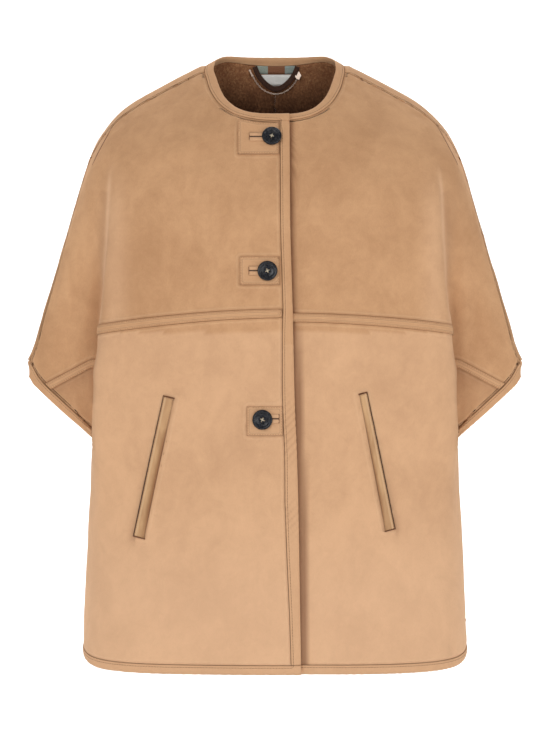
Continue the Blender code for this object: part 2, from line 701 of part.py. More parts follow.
def cuff_side(side, back):
    """Insets, their normals and edges of the cuff binding, from the wrist's corner to the side seam."""
    yoke, skirt = GRIDS[side, back, "yoke"], GRIDS[side, back, "skirt"]
    end = BODY_COLUMNS + OUTER_COLUMNS
    notch_end = 2 + SLEEVE_ROWS + len(NOTCH_STEPS)
    pick = [(yoke, r) for r in range(YOKE_ROWS, len(yoke.levels) - 1)]
    pick += [(skirt, r) for r in range(notch_end)]
    insets = np.array([grid.points[r, end] for grid, r in pick])
    normals = np.array([grid.normals[r, end] for grid, r in pick])
    levels = np.array([grid.levels[r, end] for grid, r in pick])
    paths = outer_paths(rows_at(levels), back)
    length = lengths_along(paths)
    before = length[:, -1] - panel_reach(levels, rows_at(levels), paths, length, back)
    under = levels > DOWN["underarm"]
    edge_before = np.maximum(before - cuff_width(levels), 0.35 * before)
    near = (edge_before > before - cuff_width(levels)) & ~under & (levels < DOWN["chest_seam"])
    edge_levels = levels.copy()
    edge_levels[near] = level_of_cut(back, edge_before[near])
    share = notch_share(levels, NOTCH_DEEP)
    edge_before = np.where(under, ARMHOLE_WIDE * share, np.where(near, edge_before, before - cuff_width(levels)))
    shallow = DOWN["underarm"] + (levels - DOWN["underarm"]) * ARMHOLE_DEEP / NOTCH_DEEP
    edge_levels = np.where(under, shallow, edge_levels)
    return insets, normals, opening_edge(side, back, edge_levels, edge_before)


def cuff_cap(side):
    """The same over the ridge, from the shoulder seam to the back."""
    yoke = GRIDS[side, True, "yoke"]
    cap = slice(-2, -CAP_COLUMNS - 1, -1)
    insets, normals = yoke.points[YOKE_ROWS, cap], yoke.normals[YOKE_ROWS, cap]
    ahead = -CAP + (yoke.columns[YOKE_ROWS, cap] - 2) * (CAP + CORNER_REACH)
    before = np.maximum(0.35 * np.abs(ahead), 0.02)
    edges = [opening_edge(side, a < 0, level_of_cut(a < 0, b[None]), b[None])[0] for a, b in zip(ahead, before)]
    return insets, normals, np.array(edges)


def cuff_profiles(side):
    """Profiles all round a sleeve's opening."""
    front, cap, back = cuff_side(side, False), cuff_cap(side), cuff_side(side, True)
    stations = [np.concatenate([f[::-1], c, b[:-1]]) for f, c, b in zip(front, cap, back)]
    insets, normals, edges = stations
    return profiles_between(edges, normals, insets, normals, 2 * GAP)


def make_bindings():
    tube("neck_binding", ring_profiles(0, 0.0, 1), "suede_edge")
    tube("hem_binding", ring_profiles(-1, DOWN["hem"], -1), "suede_edge")
    for hand, side in (("right", -1), ("left", 1)):
        tube(f"{hand}_front_binding", front_edge_profiles(side), "suede_edge")
        tube(f"{hand}_cuff_binding", cuff_profiles(side), "suede_edge", closed=True)


def tape_grid(side, back):
    """Points and normals over the chest seam, ended just before the bindings beside it."""
    yoke, skirt = GRIDS[side, back, "yoke"], GRIDS[side, back, "skirt"]
    count = skirt.points.shape[1]
    points = np.array([yoke.points[-2, :count], skirt.points[0], skirt.points[1]])
    normals = np.array([yoke.normals[-2, :count], skirt.normals[0], skirt.normals[1]])
    for end, inner in ((-1, -2),) if back else ((-1, -2), (0, 1)):
        along = points[:, inner] - points[:, end]
        points[:, end] += along / np.linalg.norm(along, axis=1, keepdims=True) * 3 * GAP
    return points, normals


def make_tape(name, points, normals):
    rise = np.array([TAPE_THICK * 0.6, TAPE_THICK, TAPE_THICK * 0.6])[:, None, None]
    wall(name, points + (GAP + rise) * normals, points + GAP * normals, "suede_edge")


def make_tapes():
    make_tape("right_chest_tape", *tape_grid(-1, False))
    make_tape("left_chest_tape", *tape_grid(1, False))
    halves = tape_grid(-1, True), tape_grid(1, True)
    make_tape("back_chest_tape", *(mirror_join(right, left) for right, left in zip(*halves)))


# ---------------------------------------------------------------- what lies on the cloth


def tree_of(*names):
    """A tree of the named pieces' faces, in millimetres."""
    points, faces = [], []
    for name in names:
        mesh = bpy.data.objects[name].data
        faces += [tuple(len(points) + index for index in f.vertices) for f in mesh.polygons]
        points += [v.co / MM for v in mesh.vertices]
    return BVHTree.FromPolygons(points, faces)


def on_cloth(tree, x, z, inside=False):
    """The point and outward normal of a panel's face at x and z, seen from the front."""
    start = Vector((x, 0 if inside else -400, z))
    point, normal, _, _ = tree.ray_cast(start, Vector((0, 1, 0)))
    return np.array(point), np.array(normal)


def laid(tree, xs, zs, inside=False):
    """A grid of points on a panel, and one even normal for the whole piece."""
    found = [[on_cloth(tree, x, z, inside) for x, z in zip(row_x, row_z)] for row_x, row_z in zip(xs, zs)]
    points = np.array([[point for point, _ in row] for row in found])
    normal = np.array([[normal for _, normal in row] for row in found]).mean(axis=(0, 1))
    return points, normal / np.linalg.norm(normal)


def lay_patch(name, tree, patch, thick, slot, inside=False, steps=(8, 6), lift=GAP):
    xs, zs = np.meshgrid(
        np.linspace(patch.x_outer, patch.x_inner, steps[0]), np.linspace(patch.z_top, patch.z_bottom, steps[1])
    )
    points, normal = laid(tree, xs, zs, inside)
    wall(name, points + (lift + thick) * normal, points + lift * normal, slot)


def lay_welt(name, tree, welt):
    """A pocket welt: a narrow strip, rounded across, over the slit of the pocket."""
    down = np.linspace(0, 1, 9)[:, None]
    across = np.array([0.0, 0.25, 0.75, 1.0])[None, :]
    height = np.array([0.45, 1.0, 0.85, 0.3])[None, :, None] * WELT_THICK
    outward = -1 if welt.top_x > 0 else 1
    xs = blend(welt.top_x, welt.bottom_x, down) + outward * welt.width * across
    zs = blend(welt.top_z, welt.bottom_z, down) - 3.0 * across
    points, normal = laid(tree, xs, zs)
    wall(name, points + (GAP + height) * normal, points + GAP * normal, "welt")


def add_button(name, tree, spot):
    """A round button with a raised rim and four holes, turned to lie flat on its patch."""
    point, normal = on_cloth(tree, spot.x, spot.z)
    r, t = BUTTON_RADIUS, BUTTON_THICK
    outline = [(0, 0), (r * 0.8, 0), (r, t * 0.4), (r * 0.97, t * 0.8), (r * 0.86, t), (r * 0.68, t * 0.75)]
    outline += [(r * 0.6, t * 0.62), (0, t * 0.62)]
    mesh = bmesh.new()
    profile = [mesh.verts.new((radius, 0, height)) for radius, height in outline]
    edges = [mesh.edges.new(pair) for pair in zip(profile, profile[1:])]
    bmesh.ops.spin(mesh, geom=profile + edges, axis=(0, 0, 1), cent=(0, 0, 0), steps=24, angle=math.tau)
    bmesh.ops.remove_doubles(mesh, verts=mesh.verts, dist=0.01)
    button = add_object(name, mesh, "horn")
    cutter_mesh = bmesh.new()
    for quarter in range(4):
        turn = math.tau * (quarter + 0.5) / 4
        at = Matrix.Translation((math.cos(turn) * BUTTON_HOLE_SPREAD, math.sin(turn) * BUTTON_HOLE_SPREAD, t / 2))
        bmesh.ops.create_cone(
            cutter_mesh, cap_ends=True, segments=8, radius1=BUTTON_HOLE, radius2=BUTTON_HOLE, depth=t * 3, matrix=at
        )
    cutter = add_object(f"{name}_holes", cutter_mesh, "horn")
    cutter.hide_render = True
    cutter.display_type = "WIRE"
    holes = button.modifiers.new("holes", "BOOLEAN")
    holes.operation = "DIFFERENCE"
    holes.solver = "EXACT"
    holes.object = cutter
    turned = Vector((0, 0, 1)).rotation_difference(Vector(normal)).to_matrix().to_4x4()
    place = Matrix.Translation(Vector(point + normal * (GAP + 0.1)) * MM) @ turned
    button.matrix_world = place
    cutter.matrix_world = place


def make_front_details():
    trees = {name: tree_of(f"{name}") for name in ("right_front_yoke", "right_front_skirt", "left_front_skirt")}
    hosts = ("right_front_yoke", "right_front_yoke", "right_front_skirt")
    names = ("top", "middle", "bottom")
    for name, host, patch, spot in zip(names, hosts, PATCHES, BUTTONS):
        lay_patch(f"{name}_patch", trees[host], patch, PATCH_THICK, "suede_edge", lift=1.5 * GAP)
        add_button(f"{name}_button", tree_of(f"{name}_patch"), spot)
    lay_welt("right_pocket_welt", trees["right_front_skirt"], WELTS["right"])
    lay_welt("left_pocket_welt", trees["left_front_skirt"], WELTS["left"])


def lay_loop(tree):
    """The hanging loop: a flat cord in a U, clear of the ribbon and the label behind it."""
    turns = np.linspace(0, math.pi, 13)
    height = LOOP_TOP - LOOP_BOTTOM
    centre = [
        (LOOP_CENTRE - LOOP_HALF * math.cos(t) * (0.55 + 0.45 * (1 - math.sin(t)) ** 0.5), LOOP_TOP - height * math.sin(t))
        for t in turns
    ]
    profiles = []
    for i, (x, z) in enumerate(centre):
        before, after = centre[max(i - 1, 0)], centre[min(i + 1, len(centre) - 1)]
        along = np.array([after[0] - before[0], after[1] - before[1]])
        along /= np.linalg.norm(along)
        side = np.array([-along[1], along[0]]) * LOOP_WIDTH / 2
        point, normal = on_cloth(tree, x, z, True)
        base = point + normal * (3.0 if 0 < i < len(centre) - 1 else 2.4)
        low = [base + np.array([side[0] * k, 0, side[1] * k]) for k in (-1, 1)]
        profiles.append([low[0], low[1], low[1] + normal * LOOP_THICK, low[0] + normal * LOOP_THICK])
    tube("hanging_loop", profiles, "loop")


def chain_path(tree):
    """Points of the chain, hung between its fittings in front of the loop."""
    (left, right), count = CHAIN_ENDS, 23
    half = (right.x - left.x) / 2
    points = []
    for i in range(count):
        t = -1 + 2 * i / (count - 1)
        x = (left.x + right.x) / 2 + t * (half - FITTING_WIDE / 2 - CHAIN_RADIUS - GAP)
        top = blend(left.z, right.z, (t + 1) / 2)
        z = CHAIN_BOTTOM + (top - CHAIN_BOTTOM) * abs(t) ** 1.7
        point, normal = on_cloth(tree, x, z, True)
        points.append(point + normal * (4.2 + 3.2 * (1 - t * t) ** 0.5))
    return points


def make_neck_details():
    tree = tree_of("right_back_yoke", "left_back_yoke")
    lay_patch("label", tree, LABEL, 1.0, "label", inside=True, steps=(4, 2))
    lay_patch("ribbon", tree, RIBBON, 1.0, "ribbon", inside=True, steps=(5, 2))
    lay_loop(tree)
    for name, spot in zip(("chain_bar", "chain_star"), CHAIN_ENDS):
        half, tall = FITTING_WIDE / 2, FITTING_TALL / 2
        patch = Patch(spot.x - half, spot.x + half, spot.z + tall, spot.z - tall)
        lay_patch(name, tree, patch, FITTING_THICK, "metal", inside=True, steps=(2, 2))
    curve = bpy.data.curves.new("chain", "CURVE")
    curve.dimensions = "3D"
    curve.bevel_depth = CHAIN_RADIUS * MM
    curve.bevel_resolution = 2
    curve.use_fill_caps = True
    path = chain_path(tree)
    spline = curve.splines.new("POLY")
    spline.points.add(len(path) - 1)
    for made, point in zip(spline.points, path):
        made.co = (*(point * MM), 1)
    curve.materials.append(material("metal"))
    chain = bpy.data.objects.new("chain", curve)
    bpy.context.scene.collection.objects.link(chain)


def build():
    for old in list(bpy.data.objects):
        bpy.data.objects.remove(old, do_unlink=True)
    make_panels()
    make_bindings()
    make_tapes()
    make_front_details()
    make_neck_details()


build()
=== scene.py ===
# %% [markdown]
# # A hip-length cape coat in a suede-look cloth
# The packed solids give every piece its place and size, in metres, +Z up and -Y out of the front.
# Each step below turns some of them into cloth, thread, horn or metal in that same frame. A solid
# that gets finer geometry is hidden when the new piece that stands for it is dressed.

import math

import bmesh
import bpy
import numpy as np
from mathutils import Matrix, Vector, noise
from mathutils.bvhtree import BVHTree
from mathutils.kdtree import KDTree


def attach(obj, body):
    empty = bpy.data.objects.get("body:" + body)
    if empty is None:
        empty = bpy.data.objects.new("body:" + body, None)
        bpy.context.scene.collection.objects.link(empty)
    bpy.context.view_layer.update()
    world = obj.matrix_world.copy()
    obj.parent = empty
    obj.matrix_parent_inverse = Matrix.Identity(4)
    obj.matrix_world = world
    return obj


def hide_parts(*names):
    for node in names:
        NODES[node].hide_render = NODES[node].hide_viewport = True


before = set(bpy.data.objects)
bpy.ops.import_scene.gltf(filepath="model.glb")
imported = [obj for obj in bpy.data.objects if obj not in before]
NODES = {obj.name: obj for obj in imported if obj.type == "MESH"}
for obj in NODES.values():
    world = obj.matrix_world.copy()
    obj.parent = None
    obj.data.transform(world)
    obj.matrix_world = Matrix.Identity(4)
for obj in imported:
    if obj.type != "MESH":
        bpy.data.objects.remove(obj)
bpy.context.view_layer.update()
MM = 0.001
print("solids:", len(NODES))

# %% [markdown]
# ## Shader arithmetic
# A material is a tree of nodes. It could be wired one link at a time, but a formula is easier to read
# and to change. `Number` wraps a socket, so that +, -, * and / on it add Math nodes. Colours don't go
# through it, because a Math node would turn them grey.


# %% A number in a material
class Number:
    """A number in a material, made by a node."""

    def __init__(self, look, socket):
        self.look = look
        self.socket = socket

    def math(self, operation, *operands):
        made = self.look.node("ShaderNodeMath", operation=operation)
        for socket, operand in zip(made.inputs, operands):
            self.look.feed(socket, operand)
        return Number(self.look, made.outputs[0])

    def __add__(self, other):
        return self.math("ADD", self, other)

    def __radd__(self, other):
        return self.math("ADD", other, self)

    def __sub__(self, other):
        return self.math("SUBTRACT", self, other)

    def __rsub__(self, other):
        return self.math("SUBTRACT", other, self)

    def __mul__(self, other):
        return self.math("MULTIPLY", self, other)

    def __rmul__(self, other):
        return self.math("MULTIPLY", other, self)

    def size(self):
        return self.math("ABSOLUTE", self)

    def sine(self):
        return self.math("SINE", self)

    def step(self, low, high):
        """0 below low, 1 above high, and smooth between. With low above high it falls."""
        made = self.look.node("ShaderNodeMapRange", interpolation_type="SMOOTHSTEP")
        ends = (self, min(low, high), max(low, high)) + ((0.0, 1.0) if low < high else (1.0, 0.0))
        for socket, value in zip(made.inputs, ends):
            self.look.feed(socket, value)
        return Number(self.look, made.outputs[0])

    def bump_at(self, middle, half_width):
        """1 at middle, falling smoothly to 0 at half_width on either side."""
        return (self - middle).size().step(half_width, 0.0)


print("a number's own steps:", [name for name in vars(Number) if not name.startswith("_")])

# %% [markdown]
# `Look` holds one material: its node tree, its shader, and a method for each kind of node that cloth
# needs. Every piece keeps its place in its mesh and sits at the origin, so the object's coordinates
# are the coat's own, and a grain runs on from one piece to the next.


# %% A look
class Look:
    """One material: its node tree, the object's coordinates and its principled shader."""

    def __init__(self, name, **constants):
        self.material = bpy.data.materials.new(name)
        self.material.use_nodes = True
        self.tree = self.material.node_tree
        self.shader = self.tree.nodes["Principled BSDF"]
        self.place = self.node("ShaderNodeTexCoord").outputs["Object"]
        for key, value in constants.items():
            self.shader.inputs[key.replace("_", " ")].default_value = value

    def node(self, kind, inputs=None, **settings):
        made = self.tree.nodes.new(kind)
        for key, value in settings.items():
            setattr(made, key, value)
        for key, value in (inputs or {}).items():
            self.feed(made.inputs[key], value)
        return made

    def feed(self, socket, value):
        if isinstance(value, Number):
            value = value.socket
        if isinstance(value, bpy.types.NodeSocket):
            self.tree.links.new(value, socket)
        else:
            socket.default_value = value

    def stretched(self, x, y, z):
        """The object's coordinates times (x, y, z)."""
        made = self.node("ShaderNodeVectorMath", {0: self.place, 1: (x, y, z)}, operation="MULTIPLY")
        return made.outputs[0]

    def noise(self, scale, detail=2.0, roughness=0.5, distortion=0.0, vector=None):
        """Noise about 0, mostly from -0.5 to 0.5."""
        values = {"Scale": scale, "Detail": detail, "Roughness": roughness, "Distortion": distortion}
        values["Vector"] = vector or self.place
        return Number(self, self.node("ShaderNodeTexNoise", values).outputs["Fac"]) - 0.5

    def cells(self, scale):
        made = self.node("ShaderNodeTexVoronoi", {"Vector": self.place, "Scale": scale})
        return Number(self, made.outputs["Distance"])

    def axis(self, letter):
        made = self.node("ShaderNodeSeparateXYZ", {"Vector": self.place})
        return Number(self, made.outputs[letter])

    def attribute(self, name):
        return Number(self, self.node("ShaderNodeAttribute", attribute_name=name).outputs["Fac"])

    def mix(self, factor, low, high, blend="MIX"):
        made = self.node("ShaderNodeMix", data_type="RGBA", blend_type=blend)
        self.feed(made.inputs[0], factor)
        self.feed(made.inputs[6], low)
        self.feed(made.inputs[7], high)
        return made.outputs[2]

    def finish(self, colour, roughness, height=None):
        """Feeds the shader. height is in metres."""
        self.feed(self.shader.inputs["Base Color"], colour)
        self.feed(self.shader.inputs["Roughness"], roughness)
        if height is not None:
            bump = self.node("ShaderNodeBump", {"Height": height, "Strength": 1.0, "Distance": 1.0})
            self.feed(self.shader.inputs["Normal"], bump.outputs[0])
        return self.material


print("a look's own steps:", [name for name in vars(Look) if not name.startswith("_")])

# %% [markdown]
# A shader reckons in amounts of light, but a screen bends them by a curve, so a colour that is judged
# on a screen has to be bent back before it goes into a material.


# %% A tone
def tone(red, green, blue):
    """A colour given as it looks on screen, 0 to 255, as the linear values that a shader takes."""
    shares = [value / 255 for value in (red, green, blue)]
    linear = [((share + 0.055) / 1.055) ** 2.4 if share > 0.04 else share / 12.92 for share in shares]
    return (*linear, 1.0)


print("tan on screen, as a shader takes it:", [round(value, 3) for value in tone(208, 162, 121)])

# %% [markdown]
# ## The suede-look face
# The face is a brushed cloth whose nap lies now this way and now that, which shows as soft clouds over
# a fine grain. A picture of suede would repeat and blur, so the clouds are layers of noise, from ones
# as wide as a hand down to the grain. The sewn edges matter as much. The `rim` attribute holds the
# distance to the nearest one in metres, and gives a dark pressed line and, beside it, a raised ridge
# with a painted highlight. `shade` is painted shade where one piece tucks under another, and `pale`
# blends in a paler tone, partly how the nap lies and partly painted sheen.


# %% Suede
def suede(name, light, dark, seam, clouds=1.0, stitched=0.0):
    look = Look(name, Sheen_Weight=0.1, Sheen_Roughness=0.5, Specular_IOR_Level=0.15)
    look.shader.inputs["Sheen Tint"].default_value = tone(255, 232, 206)
    rim, shade, pale = look.attribute("rim"), look.attribute("shade"), look.attribute("pale")
    # clouds 13 cm, 4 cm and 1 cm across, then the nap's hairs and the grain
    wide = look.noise(7.5, 3.0, 0.55, 0.4)
    patchy = look.noise(24.0, 4.0, 0.6, 0.8, look.stretched(1.0, 1.0, 0.7))
    small = look.noise(85.0, 3.0, 0.6, 0.5)
    nap = look.noise(900.0, 2.0, 0.6, 0.0, look.stretched(1.0, 1.0, 0.45))
    grain = look.noise(2300.0, 1.0)
    cloud = (wide * 1.1 + patchy * 0.9 + small * 0.5) * clouds + nap * 0.4 + grain * 0.2
    colour = look.mix((cloud + 0.5).step(-0.05, 1.05), dark, light)
    # a paler tone from pale: partly the nap lying flatter, partly painted sheen
    colour = look.mix(pale * 0.43, colour, tone(250, 208, 172))
    # from the edge inwards: a dark pressed line, then a raised ridge with a painted highlight, and puckers
    # over 14 mm
    ridge = rim.bump_at(3.4 * MM, 2.4 * MM)
    colour = look.mix(ridge * 0.16, colour, tone(232, 192, 152))
    line = rim.step(0.9 * MM, 0.1 * MM)
    colour = look.mix(line * 0.42, colour, seam)
    # painted shade where the cloth tucks under another piece
    colour = look.mix(shade * 0.85, colour, tone(112, 68, 44))
    pucker = look.noise(150.0, 2.0, 0.5, 0.3, look.stretched(1.0, 1.0, 0.8)) * rim.step(14 * MM, 2 * MM)
    # the same layers give the height, in metres
    height = small * 0.7 * MM + nap * 0.07 * MM + grain * 0.03 * MM + patchy * 0.8 * MM
    height = height + pucker * 0.9 * MM + ridge * 0.3 * MM - line * 0.3 * MM
    if stitched:
        pressed = rim.bump_at(stitched, 0.7 * MM)
        colour = look.mix(pressed * 0.3, colour, seam)
        height = height - pressed * 0.3 * MM
    return look.finish(colour, 0.9 + cloud * 0.08, height)


STITCH_LINE = 3.3 * MM  # how far in from its sewn edge a binding is stitched
SEAM = tone(104, 62, 38)
SUEDE = suede("suede_face", tone(208, 162, 121), tone(182, 137, 99), SEAM)
TRIM = suede("suede_trim", tone(208, 162, 121), tone(184, 138, 99), SEAM, 0.6, STITCH_LINE)
CUT = suede("cut_edge", tone(150, 104, 70), tone(110, 72, 46), SEAM)
print("suede looks:", [material.name for material in (SUEDE, TRIM, CUT)])

# %% [markdown]
# ## The wool pile
# The inside is a brown pile of short curled locks. It shows only at the neck, so real hairs would cost
# far more than they give. Noise that is stretched downwards draws the locks, and a deep bump breaks
# up their light. The pile is lighter near the neck, where light falls in.


# %% Pile
def pile(name):
    """The brown wool pile of the inside: soft locks that hang down, lighter towards the neck."""
    look = Look(name, Sheen_Weight=0.15, Sheen_Roughness=0.6, Specular_IOR_Level=0.1)
    look.shader.inputs["Sheen Tint"].default_value = tone(176, 128, 92)
    curl = look.cells(300.0)
    lock = look.noise(300.0, 3.0, 0.6, 1.2, look.stretched(1.0, 1.0, 0.3))
    hair = look.noise(1100.0, 2.0, 0.6, 0.5, look.stretched(1.0, 1.0, 0.25))
    cloud = look.noise(40.0, 3.0)
    high = look.axis("Z").step(-0.04, 0.028)
    tip = (0.25 + lock * 0.9 + hair * 0.5 + cloud * 0.5 - curl * 0.3).step(-0.2, 1.0)
    colour = look.mix(tip, tone(58, 34, 22), tone(126, 84, 56))
    colour = look.mix(high * 0.9, colour, look.mix(tip, tone(142, 94, 64), tone(232, 172, 122)))
    height = lock * 1.6 * MM + hair * 0.4 * MM - curl * 0.8 * MM
    return look.finish(colour, 0.95, height)


PILE = pile("wool_pile")
print("inside:", PILE.name)

# %% [markdown]
# ## Welts and buttons
# The pocket welts are smooth and slightly shiny, like the leather side of the cloth. A painted highlight
# lies along the fold and painted shade where they tuck in, which `across` and `down`, two shares over
# the welt, place.
# The buttons are polished dark horn: a distorted noise gives the marbling, and a thin band round the
# middle of a second one gives the pale veins.


# %% Welt leather and horn
def smooth_welt():
    """A painted highlight along the outer fold, and painted shade where it tucks in along the inner edge."""
    look = Look("welt_leather", Coat_Roughness=0.45, Specular_IOR_Level=0.4)
    look.shader.inputs["Coat Weight"].default_value = 0.08
    cloud = look.noise(60.0, 3.0, 0.6, 0.6, look.stretched(1.0, 1.0, 0.35))
    pores = look.cells(1500.0)
    rim, across, down = look.attribute("rim"), look.attribute("across"), look.attribute("down")
    colour = look.mix((cloud * 1.4 + 0.5).step(0.0, 1.0), tone(170, 126, 84), tone(206, 164, 118))
    # painted shade along the tucked-in inner edge, mostly in its lower part
    tuck_shade = across.step(0.42, 0.95) * down.step(0.08, 0.38) * (1.0 - down.step(0.8, 1.0) * 0.6)
    colour = look.mix(tuck_shade * 0.8, colour, tone(126, 76, 32))
    # painted highlight along the outer fold
    colour = look.mix(across.bump_at(0.16, 0.16) * 0.3, colour, tone(232, 196, 156))
    colour = look.mix(rim.step(1.0 * MM, 0.1 * MM) * 0.45, colour, tone(84, 54, 30))
    return look.finish(colour, 0.55 + cloud * 0.2, cloud * 0.6 * MM + pores * 0.05 * MM)


def horn():
    look = Look("dark_horn", Coat_Roughness=0.2, Specular_IOR_Level=0.2)
    look.shader.inputs["Coat Weight"].default_value = 0.15
    swirl = look.noise(95.0, 5.0, 0.62, 3.5)
    vein = look.noise(160.0, 4.0, 0.6, 2.0).size().step(0.05, 0.0)
    colour = look.mix((swirl + 0.5).step(0.25, 0.8), tone(4, 5, 8), tone(26, 30, 40))
    colour = look.mix(vein * 0.25, colour, tone(104, 100, 96))
    return look.finish(colour, 0.16 + vein * 0.15, swirl * 0.03 * MM)


WELT, HORN = smooth_welt(), horn()
print("smooth looks:", WELT.name, HORN.name)

# %% [markdown]
# ## Woven trims
# The label and the ribbon are flat weaves, and the hanging loop is a braid. Threads that cross are two
# sine waves multiplied, one along each axis, so no thread has to be modelled. The label is left bare,
# and the ribbon has three plain blocks.


# %% Label, ribbon and braid looks
def plain_weave(name, light, dark, pitch, bump=0.08 * MM):
    """A look whose threads cross at the pitch, with the colour and the height of its weave."""
    look = Look(name, Specular_IOR_Level=0.35)
    turn = math.tau / pitch
    weave = (look.axis("X") * turn).sine() * (look.axis("Z") * turn).sine()
    thread = look.noise(700.0, 2.0)
    colour = look.mix((weave * 0.35 + thread + 0.5).step(0.0, 1.0), dark, light)
    return look, colour, weave * bump


def bare_label():
    """White tape with a pressed hem."""
    look, colour, height = plain_weave("bare_label", tone(255, 254, 250), tone(246, 243, 236), 0.5 * MM)
    hem = look.attribute("rim").bump_at(1.4 * MM, 0.5 * MM)
    colour = look.mix(hem * 0.35, colour, tone(176, 164, 148))
    return look.finish(colour, 0.55, height - hem * 0.1 * MM)


def ribbon_blocks():
    """Grey-green, brown and grey-green again across the ribbon."""
    look, colour, height = plain_weave("ribbon_blocks", tone(255, 255, 255), tone(215, 215, 215), 0.6 * MM)
    x = look.axis("X")
    blocks = look.mix(x.step(-9.9 * MM, -9.2 * MM), tone(176, 186, 172), tone(158, 104, 72))
    blocks = look.mix(x.step(12.8 * MM, 13.5 * MM), blocks, tone(168, 180, 172))
    return look.finish(look.mix(1.0, colour, blocks, "MULTIPLY"), 0.6, height)


def braid():
    """The same crossing threads, coarser and higher."""
    light, dark = tone(96, 62, 46), tone(40, 22, 15)
    look, colour, height = plain_weave("braided_cord", light, dark, 1.3 * MM, 0.25 * MM)
    return look.finish(colour, 0.75, height)


LABEL, RIBBON, BRAID = bare_label(), ribbon_blocks(), braid()
print("woven looks:", LABEL.name, RIBBON.name, BRAID.name)

# %% [markdown]
# ## Thread and metal
# A spun thread is two strands twisted round each other, and at this size only the slant of the twist
# shows, so one sine wave along all three axes is enough. The same look, darker, fills the slits of the
# buttonholes and pockets as painted shadow. The chain is plated metal with a little wear on its high spots.


# %% Thread and metal looks
def spun_thread(name, light, dark):
    look = Look(name, Specular_IOR_Level=0.4)
    twist = ((look.axis("X") + look.axis("Y") + look.axis("Z")) * (math.tau / (0.7 * MM))).sine()
    colour = look.mix(twist * 0.5 + 0.5, dark, light)
    return look.finish(colour, 0.6, twist * 0.04 * MM)


def plated(name, base):
    look = Look(name, Metallic=0.7)
    wear = look.noise(600.0, 3.0)
    colour = look.mix((wear + 0.5).step(0.2, 0.9), base, tone(255, 240, 226))
    return look.finish(colour, 0.4 + wear * 0.2, wear * 0.01 * MM)


THREAD = spun_thread("tan_thread", tone(176, 128, 88), tone(128, 86, 54))
PALE_THREAD = spun_thread("pale_thread", tone(226, 214, 190), tone(150, 136, 112))
DARK_THREAD = spun_thread("brown_thread", tone(132, 84, 52), tone(84, 48, 28))
# painted shadow for the slits of the buttonholes and the pocket mouths
SHADOW = spun_thread("slit_shadow", tone(74, 44, 26), tone(44, 26, 16))
METAL = plated("rose_gold", tone(244, 216, 196))
print("thread and metal:", [made.name for made in (THREAD, PALE_THREAD, DARK_THREAD, SHADOW, METAL)])

# %% [markdown]
# ## From solid to cloth
# A packed solid is a closed wall of loose triangles. The cloth could be modelled afresh, but then its
# seams wouldn't meet those of the solids. So each solid is joined back into quads, with a crease on
# every sharp edge, which keeps that edge through a later subdivision.

# %% Weld a solid
SHARP = math.radians(50)


def points_of(mesh):
    points = np.empty(len(mesh.vertices) * 3)
    mesh.vertices.foreach_get("co", points)
    return points.reshape(-1, 3)


def set_points(mesh, points):
    mesh.vertices.foreach_set("co", np.ascontiguousarray(points).ravel())
    mesh.update()


def sharp(edge, limit):
    return len(edge.link_faces) == 2 and edge.calc_face_angle() > limit


def welded(node, join=40, limit=SHARP):
    """The node's mesh as quads, with sharp edges creased."""
    mesh = bmesh.new()
    mesh.from_mesh(NODES[node].data)
    bmesh.ops.remove_doubles(mesh, verts=mesh.verts, dist=0.02 * MM)
    bmesh.ops.join_triangles(
        mesh,
        faces=mesh.faces,
        angle_face_threshold=math.radians(join),
        angle_shape_threshold=math.radians(75),
    )
    bmesh.ops.recalc_face_normals(mesh, faces=mesh.faces)
    crease = mesh.edges.layers.float.new("crease_edge")
    for edge in mesh.edges:
        if sharp(edge, limit):
            edge[crease] = 1.0
    return mesh


print("most faces in a solid:", max(len(made.data.polygons) for made in NODES.values()))

# %% [markdown]
# A wall of cloth has a brushed face outside, pile inside, and a narrow cut edge between them. They need
# different looks, and painting faces by hand would have to be done again after every change. So the
# faces are gathered into regions that meet at sharp edges. A narrow region is a cut edge, and of
# the wide ones the outer faces away from the middle of the coat.


# %% Sort the skins
NARROW = 2.4 * MM  # area over outline, below which a region is a cut edge


def sort_skins(mesh, limit=SHARP):
    """Material 0 on the outer skin, 1 on the inner one and 2 on the narrow cut edges between them."""
    left = set(mesh.faces)
    while left:
        region = [left.pop()]
        around = 0.0
        for face in region:
            for edge in face.edges:
                if sharp(edge, limit):
                    around += edge.calc_length()
                else:
                    near = [f for f in edge.link_faces if f in left]
                    left.difference_update(near)
                    region.extend(near)
        narrow = sum(face.calc_area() for face in region) / max(around, MM) < NARROW
        away = sum(f.calc_area() * f.normal.y * f.calc_center_median().y for f in region)
        for face in region:
            face.material_index = 2 if narrow else 0 if away > 0 else 1


print("a cut edge has less area than", NARROW / MM, "mm times its outline")

# %% [markdown]
# Subdivision rounds the quads into cloth. The modifier's result is put into the mesh at once, because
# the folds and seams below move single vertices. `dress` then gives a piece its materials and its body,
# and hides the solids it stands for.


# %% New objects, subdivision, finish
def object_from(name, mesh, place=None, smooth=True):
    """The bmesh as a new object in the scene. Its place goes into its mesh."""
    data = bpy.data.meshes.new(name)
    mesh.to_mesh(data)
    mesh.free()
    if place is not None:
        data.transform(place)
    if smooth:
        data.shade_smooth()
    made = bpy.data.objects.new(name, data)
    bpy.context.scene.collection.objects.link(made)
    return made


def settle_modifiers(made):
    """Puts the result of the object's modifiers into its mesh."""
    bpy.context.view_layer.update()
    rough, name = made.data, made.data.name
    evaluated = made.evaluated_get(bpy.context.evaluated_depsgraph_get())
    done = bpy.data.meshes.new_from_object(evaluated)
    made.modifiers.clear()
    made.data = done
    bpy.data.meshes.remove(rough)
    done.name = name
    done.shade_smooth()
    return made


def finer(name, mesh, levels):
    """The mesh as a new object, after that many subdivisions."""
    made = object_from(name, mesh, smooth=False)
    rounded = made.modifiers.new("smooth", "SUBSURF")
    rounded.levels = rounded.render_levels = levels
    return settle_modifiers(made)


